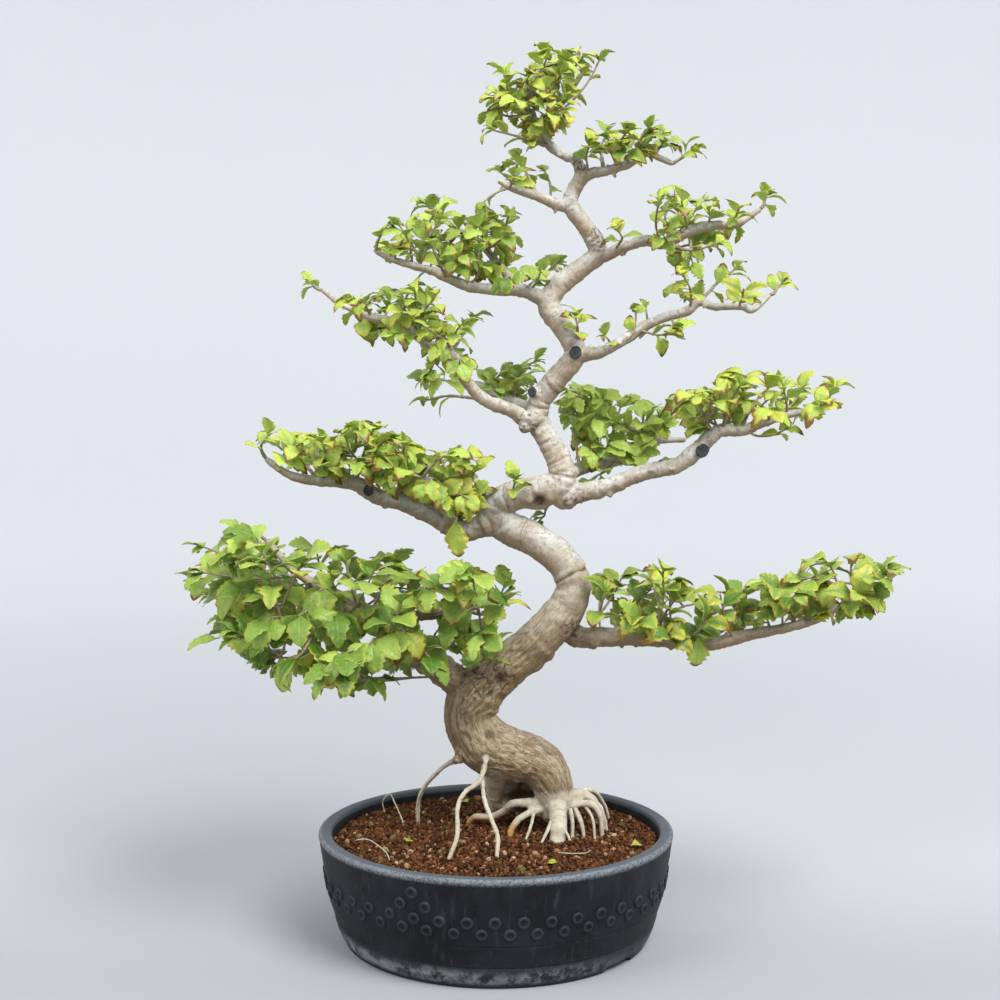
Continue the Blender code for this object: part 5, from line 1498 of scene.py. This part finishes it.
class Shader:
    """Builds one material's nodes round its Principled shader."""

    def __init__(self, name, **constants):
        self.material = bpy.data.materials.new(name)
        self.material.use_nodes = True
        self.tree = self.material.node_tree
        self.surface = self.tree.nodes["Principled BSDF"]
        for key, value in constants.items():
            self.surface.inputs[key.replace("_", " ")].default_value = value

    def node(self, kind, settings=None, inputs=None, output=0):
        """A node of a type, with its settings and then its sockets' values or links."""
        made = self.tree.nodes.new(f"ShaderNode{kind}")
        for key, value in (settings or {}).items():
            if key == "stops":
                stops = made.color_ramp.elements
                while len(stops) < len(value):
                    stops.new(1)
                for stop, (place, colour) in zip(stops, value):
                    stop.position, stop.color = place, (*colour, 1)
            else:
                setattr(made, key, value)
        for key, value in (inputs or {}).items():
            if isinstance(value, Value):
                self.tree.links.new(value.socket, made.inputs[key])
            elif made.inputs[key].type == "RGBA":
                made.inputs[key].default_value = (*value, 1)
            else:
                made.inputs[key].default_value = value
        return Value(self, made.outputs[output])

    def read(self, name, output="Vector"):
        return self.node("Attribute", {"attribute_name": name}, None, output)

    def split(self, vector):
        parts = self.node("SeparateXYZ", None, {0: vector})
        return [Value(self, socket) for socket in parts.socket.node.outputs]

    def place(self):
        return self.node("TexCoord", None, None, "Object")

    def stretch(self, vector, scale):
        return self.node("VectorMath", {"operation": "MULTIPLY"}, {0: vector, 1: scale})

    def moved(self, vector, way):
        return self.node("VectorMath", {"operation": "ADD"}, {0: vector, 1: way})

    def noise(self, vector, scale, detail=3, roughness=0.55, distortion=0):
        return self.node("TexNoise", None, {"Vector": vector, "Scale": scale, "Detail": detail,
                                            "Roughness": roughness, "Distortion": distortion})

    def cells(self, vector, scale, feature="F1"):
        return self.node("TexVoronoi", {"feature": feature}, {"Vector": vector, "Scale": scale},
                         "Distance")

    def ramp(self, value, *stops):
        return self.node("ValToRGB", {"stops": stops}, {0: value})

    def mix(self, share, low, high):
        return self.node("Mix", {"data_type": "RGBA"}, {0: share, 6: low, 7: high}, 2)

    def over(self, colour, *layers):
        """Lays colours over a colour one after another, each with its share."""
        for share, layer in layers:
            colour = self.mix(share, colour, layer)
        return colour

    def band(self, value, start, end):
        """Turns a value into 0 at start and 1 at end, smoothly."""
        return self.node("MapRange", {"interpolation_type": "SMOOTHSTEP"},
                         {0: value, 1: start, 2: end, 3: 0, 4: 1})

    def done(self, colour, roughness, height=None, depth=1.0, strength=1.0):
        """Links what varies, with heights as bumps of a depth in millimetres."""
        links = {"Base Color": colour, "Roughness": roughness}
        if height is not None:
            links["Normal"] = self.node("Bump", None, {"Strength": strength,
                                                       "Distance": depth * MM, "Height": height})
        for key, value in links.items():
            if isinstance(value, Value):
                self.tree.links.new(value.socket, self.surface.inputs[key])
            else:
                self.surface.inputs[key].default_value = value
        return self.material


def bark_finish(look):
    """Pale wrinkled bark on limbs, laced grey-brown bark low on the trunk, whitish roots."""
    s = Shader("pale bark", IOR=1.4, Specular_IOR_Level=0.4)
    grain, place = s.read("grain"), s.place()
    old, root, ridge = s.split(s.read("bark"))
    # How far creases, cracks and dips are darkened, as darker bark with painted shade; on twigs it
    # browns them towards the tip
    crease_shade_and_dark_bark = s.read("bark", "Alpha")
    x, y, z = s.split(place)
    blotch = s.noise(place, 38, 4, 0.6)
    small = s.noise(place, 210, 4, 0.65)
    fine = s.noise(place, 560, 3, 0.7)
    wrinkle = s.noise(s.stretch(grain, (520, 70, 70)), 1, 4, 0.62, 0.5)
    fibre = s.noise(s.stretch(grain, (30, 220, 220)), 1, 3, 0.6, 0.8)
    lace = (1 - 11 * (fibre - 0.5).math("ABSOLUTE")).clamped()
    knit = s.noise(s.moved(s.stretch(grain, (60, 320, 320)), (3.1, 0, 7.7)), 1, 3, 0.6, 1.2)
    mesh = (1 - 12 * (knit - 0.5).math("ABSOLUTE")).clamped()
    facing = s.split(s.node("NewGeometry", None, None, "Normal"))[2]
    low = 0.22 * s.band(z, 0.42, 0.33)
    colour = s.over(s.mix(s.band(blotch + low, 0.34, 0.68), look.pale, look.tan),
                    (0.35 * s.band(wrinkle, 0.5, 0.33), (0.25, 0.195, 0.135)),
                    (0.65 * s.band(small, 0.5, 0.36), (0.26, 0.205, 0.145)),
                    (0.6 * s.band(fine, 0.54, 0.7), (0.7, 0.695, 0.66)),
                    (0.4 * s.band(ridge, 0.35, 0), (0.27, 0.21, 0.145)))
    aged = s.over(s.mix(s.band(small, 0.36, 0.62), (0.17, 0.11, 0.053), look.aged),
                  (0.6 * s.band(blotch, 0.5, 0.72), (0.36, 0.26, 0.14)),
                  (0.7 * s.band(facing, 0.1, 0.75), (0.23, 0.175, 0.13)),
                  (0.8 * lace, (0.64, 0.54, 0.38)), (0.5 * mesh, (0.5, 0.4, 0.26)),
                  (0.4 * s.band(ridge, 0.42, 0.05), (0.1, 0.066, 0.034)))
    stain = s.band(z + 0.01 * (blotch - 0.5), 0.118, 0.106) * s.band(y, -0.03, -0.015)
    stain = stain * s.band(x, 0.03, 0.018) * s.band(x, -0.06, -0.04) * s.band(y, 0.06, 0.05)
    # Painted light: the roots behind the trunk's front, the leg among them, are made much paler to
    # lift them out of the shade they stand in
    leg = s.mix(lace, (0.55, 0.46, 0.33), (0.95, 0.88, 0.7))
    bare = s.over(s.mix(s.band(small, 0.4, 0.6), (0.5, 0.44, 0.33), look.root),
                  (0.6 * s.band(wrinkle, 0.48, 0.3), (0.25, 0.19, 0.12)),
                  (0.85 * s.band(y, 0.005, 0.03), leg), (0.9 * stain, (0.5, 0.25, 0.055)))
    # Painted shade: bark that faces down is browned, as the shade under limbs and trunk
    under = s.band(facing, 0.4, -0.55) * (0.45 + 0.8 * small)
    # Fold lines: a thin dark line on each fold and a wider brownish band round it, darker bark with
    # painted shade in the groove
    gap = s.read("grain", "Alpha").math("ABSOLUTE")
    line = s.band(gap + 0.06 * (small - 0.5), 0.06, 0.02) * s.band(blotch, 0.4, 0.54)
    # Last come the painted shade under the bark, the fold lines, and the creases, cracks and dips
    # darkened with painted shade in them
    colour = s.over(colour, (old, aged), (s.band(root, 0.25, 0.85), bare),
                    ((0.8 * under - 0.35 * root).clamped(), (0.26, 0.165, 0.08)),
                    (0.3 * s.band(gap, 0.3, 0.05), (0.27, 0.19, 0.11)),
                    (0.8 * line, (0.13, 0.085, 0.048)),
                    ((0.95 * crease_shade_and_dark_bark).clamped(), (0.06, 0.036, 0.02)))
    height = 0.4 * wrinkle + 0.4 * small + 0.2 * fine + old * (0.8 * lace + 0.5 * mesh)
    return s.done(colour, 0.72 + 0.18 * blotch, height, 0.8, 0.9)


def leaf_finish(look):
    """Green blades with paler ribs, yellowing edges and browned tips, paler underneath."""
    s = Shader("leaf green", IOR=1.45, Specular_IOR_Level=0.45, Subsurface_Weight=0.35,
               Subsurface_Scale=0.0012, Subsurface_Radius=(0.8, 1, 0.15))
    along, across, rib = s.split(s.read("place"))
    upper = s.read("place", "Alpha")
    yellow, brown, dark = s.split(s.read("tone"))
    ripe = s.read("tone", "Alpha")
    place = s.place()
    mottle = s.noise(place, 130, 3, 0.6)
    patch = s.noise(place, 330, 2, 0.6)
    side_rib = rib.math("PINGPONG", 0.068)
    veins = (1 - across * 13).clamped() + 0.5 * (1 - side_rib * 95).clamped()
    # The deep green carries each leaf's painted shade as well as its own darker green
    shade = (dark * 0.95 + 0.3 * (mottle - 0.5)).clamped()
    fade = across + 0.35 * along + 0.8 * (mottle - 0.5) + 0.3 * (patch - 0.5)
    burnt = along + 0.1 * across + 0.2 * (mottle - 0.5) - 1.15 + 0.35 * brown
    spots = s.band(patch, 0.69, 0.75) * (0.25 + 0.75 * ripe)
    colour = s.over(look.fresh, (shade, look.deep), ((0.36 * veins).clamped(), (0.42, 0.5, 0.13)),
                    ((0.85 * (fade - 0.98 + yellow)).clamped(), look.yellow),
                    ((burnt * 5 + 0.4).clamped() * (brown * 3).clamped(), (0.38, 0.2, 0.02)),
                    ((burnt * 14).clamped(), look.brown), (0.6 * spots, (0.22, 0.13, 0.04)))
    pale = s.mix(0.25, colour, (0.33, 0.43, 0.13))
    colour = s.mix(upper, pale, colour)
    crinkle = s.noise(place, 190, 3, 0.55)
    height = veins * -0.6 + 1.6 * crinkle
    return s.done(colour, 0.52 - 0.2 * upper + 0.15 * mottle, height, 0.7, 0.8)


def glaze_finish(look):
    """Near-black satin glaze, grey on the lip from wear and painted highlight, with painted
    highlights on the studs, streaks, specks and a limy foot.
    """
    s = Shader("charcoal glaze", IOR=1.5, Specular_IOR_Level=0.16)
    place = s.place()
    x, y, z = s.split(place)
    streak = s.noise(s.stretch(place, (190, 190, 9)), 1, 4, 0.65)
    cloud = s.noise(place, 22, 4, 0.6)
    grainy = s.noise(place, 420, 4, 0.7)
    speck = s.noise(place, 900, 2, 0.5)
    pit = s.cells(place, 310)
    boss = s.split(s.read("boss"))[0]
    # The lip's grey is glaze wear with a painted highlight of the rim's top; the paler line on its
    # outer edge is wear with painted highlight too
    lip = s.band(z + 0.0012 * (cloud - 0.5), 0.1035, 0.1062)
    lip_wear_and_highlight = s.mix(s.band(grainy, 0.1, 0.9), (0.06, 0.07, 0.085), look.lip)
    out = (x * x + y * y).math("SQRT")
    worn_and_highlit = s.band(out, 0.1735, 0.1765) * s.band(z, 0.1015, 0.1045) * s.band(grainy, 0.35, 0.6)
    crust = s.noise(place, 70, 5, 0.7)
    lime = s.band(z + 0.014 * (cloud - 0.5), 0.022, 0.012) * s.band(crust, 0.38, 0.62)
    lime = lime * s.band(z, 0.002, 0.008) * (1 - 0.65 * s.band(x, 0.05, 0.12))
    dust = s.band(speck, 0.7, 0.78) * (0.35 + 0.65 * s.band(z, 0.03, 0.0))
    # The studs' rings get a painted highlight along their raised tops
    colour = s.over(look.glaze, (s.band(cloud, 0.35, 0.7), (0.017, 0.018, 0.021)),
                    (0.6 * s.band(streak, 0.52, 0.74), (0.042, 0.046, 0.053)),
                    ((0.45 * boss * (0.4 + cloud)).clamped(), (0.05, 0.06, 0.073)),
                    (0.9 * lip, lip_wear_and_highlight), (0.32 * worn_and_highlit, (0.44, 0.46, 0.48)),
                    (0.06 * s.band(z, 0.026, 0.022), (0.16, 0.19, 0.21)),
                    (0.7 * lime * (0.4 + 0.9 * grainy), (0.36, 0.39, 0.39)),
                    (0.5 * dust, (0.5, 0.5, 0.48)),
                    (0.35 * s.band(pit, 0.09, 0.03), (0.3, 0.3, 0.3)))
    roughness = 0.42 + 0.16 * cloud + 0.12 * streak + 0.12 * lime
    return s.done(colour, roughness, 0.6 * streak + 0.5 * cloud + 0.3 * grainy, 0.35, 0.55)


def grit_finish(look):
    """Red-brown cinder, grain by grain, with dark, tan and mossy ones among them."""
    s = Shader("cinder grit", IOR=1.4, Specular_IOR_Level=0.25)
    pick, shade, _ = s.split(s.read("tone"))
    place = s.place()
    rough = s.noise(place, 900, 3, 0.7)
    colour = s.ramp(pick, (0, (0.03, 0.012, 0.005)), (0.3, (0.085, 0.031, 0.011)),
                    (0.62, look.grit), (0.93, (0.27, 0.108, 0.037)), (0.96, (0.42, 0.25, 0.12)),
                    (0.985, (0.55, 0.41, 0.25)), (0.992, (0.09, 0.11, 0.025)))
    colour = s.over(colour, (0.65 * shade, (0.038, 0.015, 0.006)),
                    (0.4 * s.band(rough, 0.55, 0.75), (0.3, 0.145, 0.055)))
    return s.done(colour, 0.92, rough, 0.6, 0.9)


def bed_finish():
    """The bed seen between the grains: darker cinder, painted near black as the shade in the gaps.
    """
    s = Shader("damp cinder", IOR=1.4, Specular_IOR_Level=0.2)
    place = s.place()
    coarse = s.cells(place, 330)
    fine = s.noise(place, 700, 3, 0.7)
    # Painted shade: the bed goes near black, as the shade in the gaps between grains
    colour = s.mix(s.band(coarse, 0.1, 0.6), (0.07, 0.027, 0.011), (0.012, 0.006, 0.003))
    return s.done(s.mix(0.4 * fine, colour, (0.12, 0.05, 0.02)), 0.95, coarse + fine, 1.5)


def paste_finish():
    """Black wound paste, dull and slightly cracked."""
    s = Shader("black paste", IOR=1.45)
    place = s.place()
    crack = s.cells(place, 420, "DISTANCE_TO_EDGE")
    fine = s.noise(place, 520, 4, 0.6)
    colour = s.mix(s.band(fine, 0.4, 0.7), (0.02, 0.02, 0.024), (0.085, 0.085, 0.097))
    colour = s.mix(0.6 * s.band(crack, 0.07, 0.0), colour, (0.14, 0.135, 0.13))
    return s.done(colour, 0.5 + 0.25 * fine, 0.5 * s.band(crack, 0.0, 0.12) + 0.5 * fine, 0.5)


def floor_finish(look):
    """Matt pale paper for the sweep behind and under the pot, with painted shade: darker near the
    pot, darker still in front of it, and a little darker low down far off.
    """
    s = Shader("pale sweep", Specular_IOR_Level=0.2)
    place = s.place()
    cloud = s.noise(place, 0.8, 3, 0.5)
    x, y, z = s.split(place)
    out = (x * x + y * y).math("SQRT")
    back = s.mix(cloud, look.sweep, [part * 0.97 for part in look.sweep])
    # Painted shade: the floor darkens towards the pot, and more in front of it
    low = s.mix(s.band(out, 3.2, 0.6), look.low, look.floor)
    low = s.mix(s.band(y, 0.3, -0.15), low, [part * 0.74 for part in look.floor])
    return s.done(s.mix(s.band(z, 1.3, 0.1), back, low), 0.9)


def colour(name, description, default):
    return FloatVectorProperty(name=name, description=description, default=default,
                               subtype="COLOR", size=3, min=0, max=1)


def number(name, description, default, **limits):
    return FloatProperty(name=name, description=description, default=default, **limits)


class WoodLook(bpy.types.PropertyGroup):
    """What a user would change on trunk, limbs and roots."""

    grain: number("Grain", "Fineness of the bark's mesh, in millimetres", 1.25, min=0.8, max=4)
    pale: colour("Pale bark", "Bark of limbs and upper trunk", (0.63, 0.615, 0.585))
    tan: colour("Tan bark", "Darker patches of the bark", (0.42, 0.37, 0.285))
    aged: colour("Aged bark", "Bark low on the trunk", (0.38, 0.265, 0.12))
    root: colour("Roots", "Bare surface roots", (0.58, 0.535, 0.43))


class LeafLook(bpy.types.PropertyGroup):
    """What a user would change on the leaves."""

    thickness: number("Thickness", "Thickness of a blade, in millimetres", 0.5, min=0.2, max=1)
    fresh: colour("Fresh green", "Young leaves", (0.43, 0.59, 0.11))
    # Deep green also serves as the leaves' painted shade
    deep: colour("Deep green", "Grown leaves", (0.035, 0.12, 0.003))
    yellow: colour("Yellow", "Fading edges", (0.51, 0.455, 0.05))
    brown: colour("Brown", "Dried tips", (0.12, 0.052, 0.008))


class PotLook(bpy.types.PropertyGroup):
    """What a user would change on the pot and its fill."""

    glaze: colour("Glaze", "The pot's glaze", (0.008, 0.0085, 0.01))
    # The lip's grey is glaze wear with a painted highlight
    lip: colour("Lip", "The worn glaze of the lip", (0.12, 0.137, 0.155))
    grit: colour("Cinder", "Most of the grit", (0.155, 0.056, 0.019))
    step: number("Grain spacing", "Room of one grain, in millimetres", 3.65, min=3, max=8)


class StageLook(bpy.types.PropertyGroup):
    """What a user would change on the stage."""

    sweep: colour("Sweep", "Paper behind the pot", (0.84, 0.85, 0.865))
    # Low sweep and floor are darker than the sweep as painted shade, to even out the lamps' light
    low: colour("Low sweep", "Paper far behind, low down", (0.76, 0.775, 0.795))
    floor: colour("Floor", "Paper under the pot", (0.5, 0.512, 0.53))
    key: number("Key light", "Power of the large soft light", 109, min=0, subtype="POWER")
    fill: number("Fill light", "Power of the second soft light", 28, min=0, subtype="POWER")
    sky: number("Sky", "Strength of the even light all round", 0.79, min=0)


def material_of(name, make, *look):
    """A material by its name, made when it is first asked for."""
    return bpy.data.materials.get(name) or make(*look)


def look_of(context, part):
    return getattr(context.scene, f"bonsai_{part}")


class BONSAI_OT_stage(bpy.types.Operator):
    """Sets the pale sweep, the soft lights and the camera"""

    bl_idname = "bonsai.stage"
    bl_label = "Stage"

    def execute(self, context):
        look = look_of(context, "stage")
        profile = [(0.02, 0), (0.3, 0), (1, 0), (SWEEP_FLAT, 0)]
        for k in range(1, SWEEP_STEPS + 1):
            turn = pi / 2 * k / SWEEP_STEPS
            profile.append((SWEEP_FLAT + SWEEP_BEND * sin(turn), SWEEP_BEND * (1 - cos(turn))))
        profile.append((SWEEP_FLAT + SWEEP_BEND, SWEEP_TOP))
        body = Mesh()
        body.add(*closed_rings(turned([(r / MM, h / MM) for r, h in profile], SWEEP_TURNS)))
        body.faces = [face for face in body.faces if len(face) == 4 or max(face) == body.count - 2]
        mesh = body.made("sweep")
        mesh.materials.append(material_of("pale sweep", floor_finish, look))
        mesh.shade_smooth()
        placed("sweep", mesh, AXIS)

        for name, (place, size) in LAMPS.items():
            light = bpy.data.lights.new(name, "AREA")
            light.shape, light.size, light.energy = "DISK", size, getattr(look, name)
            way = Vector(LIT_SPOT) - Vector(place)
            placed(name, light, place).rotation_euler = way.to_track_quat("-Z", "Y").to_euler()

        world = bpy.data.worlds.new("studio")
        world.use_nodes = True
        sky = world.node_tree.nodes["Background"]
        sky.inputs["Color"].default_value = SKY_COLOUR
        sky.inputs["Strength"].default_value = look.sky
        context.scene.world = world
        context.scene.view_settings.view_transform = "Standard"

        lens = bpy.data.cameras.new("camera")
        lens.lens = LENS
        camera = placed("camera", lens, AXIS + Vector(CAMERA_PLACE) * MM)
        camera.rotation_euler = (radians(90 - CAMERA_PITCH), 0, 0)
        context.scene.camera = camera
        return {"FINISHED"}


class BONSAI_OT_pot(bpy.types.Operator):
    """Turns the pot with its lip, grooves, notched foot and studs"""

    bl_idname = "bonsai.pot"
    bl_label = "Pot"

    def execute(self, context):
        make_pot(material_of("charcoal glaze", glaze_finish, look_of(context, "pot")))
        return {"FINISHED"}


class BONSAI_OT_grit(bpy.types.Operator):
    """Fills the pot with a bed of cinder, loose grains and dry leaf bits"""

    bl_idname = "bonsai.grit"
    bl_label = "Grit"

    def execute(self, context):
        look = look_of(context, "pot")
        make_soil_bed(material_of("damp cinder", bed_finish))
        make_grit(look.step, material_of("cinder grit", grit_finish, look))
        make_litter(material_of("leaf green", leaf_finish, look_of(context, "leaf")),
                    material_of("pale bark", bark_finish, look_of(context, "wood")))
        return {"FINISHED"}


class BONSAI_OT_wood(bpy.types.Operator):
    """Grows trunk, limbs and roots as one skin of bark"""

    bl_idname = "bonsai.wood"
    bl_label = "Wood"

    def execute(self, context):
        look = look_of(context, "wood")
        make_wood(Wood(), look.grain, material_of("pale bark", bark_finish, look))
        return {"FINISHED"}


class BONSAI_OT_seals(bpy.types.Operator):
    """Sets the dried plugs of wound paste on the pruning cuts"""

    bl_idname = "bonsai.seals"
    bl_label = "Seals"

    def execute(self, context):
        for name in CUTS:
            make_seal(name, material_of("black paste", paste_finish))
        return {"FINISHED"}


class BONSAI_OT_foliage(bpy.types.Operator):
    """Grows every pad's twigs and toothed leaves"""

    bl_idname = "bonsai.foliage"
    bl_label = "Foliage"

    def execute(self, context):
        look = look_of(context, "leaf")
        green = material_of("leaf green", leaf_finish, look)
        bark = material_of("pale bark", bark_finish, look_of(context, "wood"))
        shoots = grow_tree()
        for pad in PADS_KEPT:
            own = {name: grown for name, grown in shoots.items() if name[0] == pad}
            make_leaves(pad, own, look.thickness, green)
            make_twigs(pad, own, bark)
        return {"FINISHED"}


STEPS = (BONSAI_OT_stage, BONSAI_OT_pot, BONSAI_OT_grit, BONSAI_OT_wood, BONSAI_OT_seals,
         BONSAI_OT_foliage)
LOOKS = {"wood": WoodLook, "leaf": LeafLook, "pot": PotLook, "stage": StageLook}


class BONSAI_PT_panel(bpy.types.Panel):
    """Lists the tree's steps and what can be changed in them"""

    bl_idname = "BONSAI_PT_panel"
    bl_label = "Bonsai"
    bl_space_type = "VIEW_3D"
    bl_region_type = "UI"
    bl_category = "Bonsai"

    def draw(self, context):
        for step in STEPS:
            self.layout.operator(step.bl_idname)
        for part, group in LOOKS.items():
            box = self.layout.box()
            box.label(text=part.capitalize())
            for key in group.__annotations__:
                box.prop(look_of(context, part), key)


def register():
    for kind in (*LOOKS.values(), *STEPS, BONSAI_PT_panel):
        bpy.utils.register_class(kind)
    for part, group in LOOKS.items():
        setattr(bpy.types.Scene, f"bonsai_{part}", PointerProperty(type=group))


def unregister():
    for part in LOOKS:
        delattr(bpy.types.Scene, f"bonsai_{part}")
    for kind in (BONSAI_PT_panel, *STEPS[::-1], *LOOKS.values()):
        bpy.utils.unregister_class(kind)


def main():
    register()
    for step in STEPS:
        getattr(bpy.ops.bonsai, step.bl_idname.split(".")[1])()


if __name__ == "__main__":
    main()
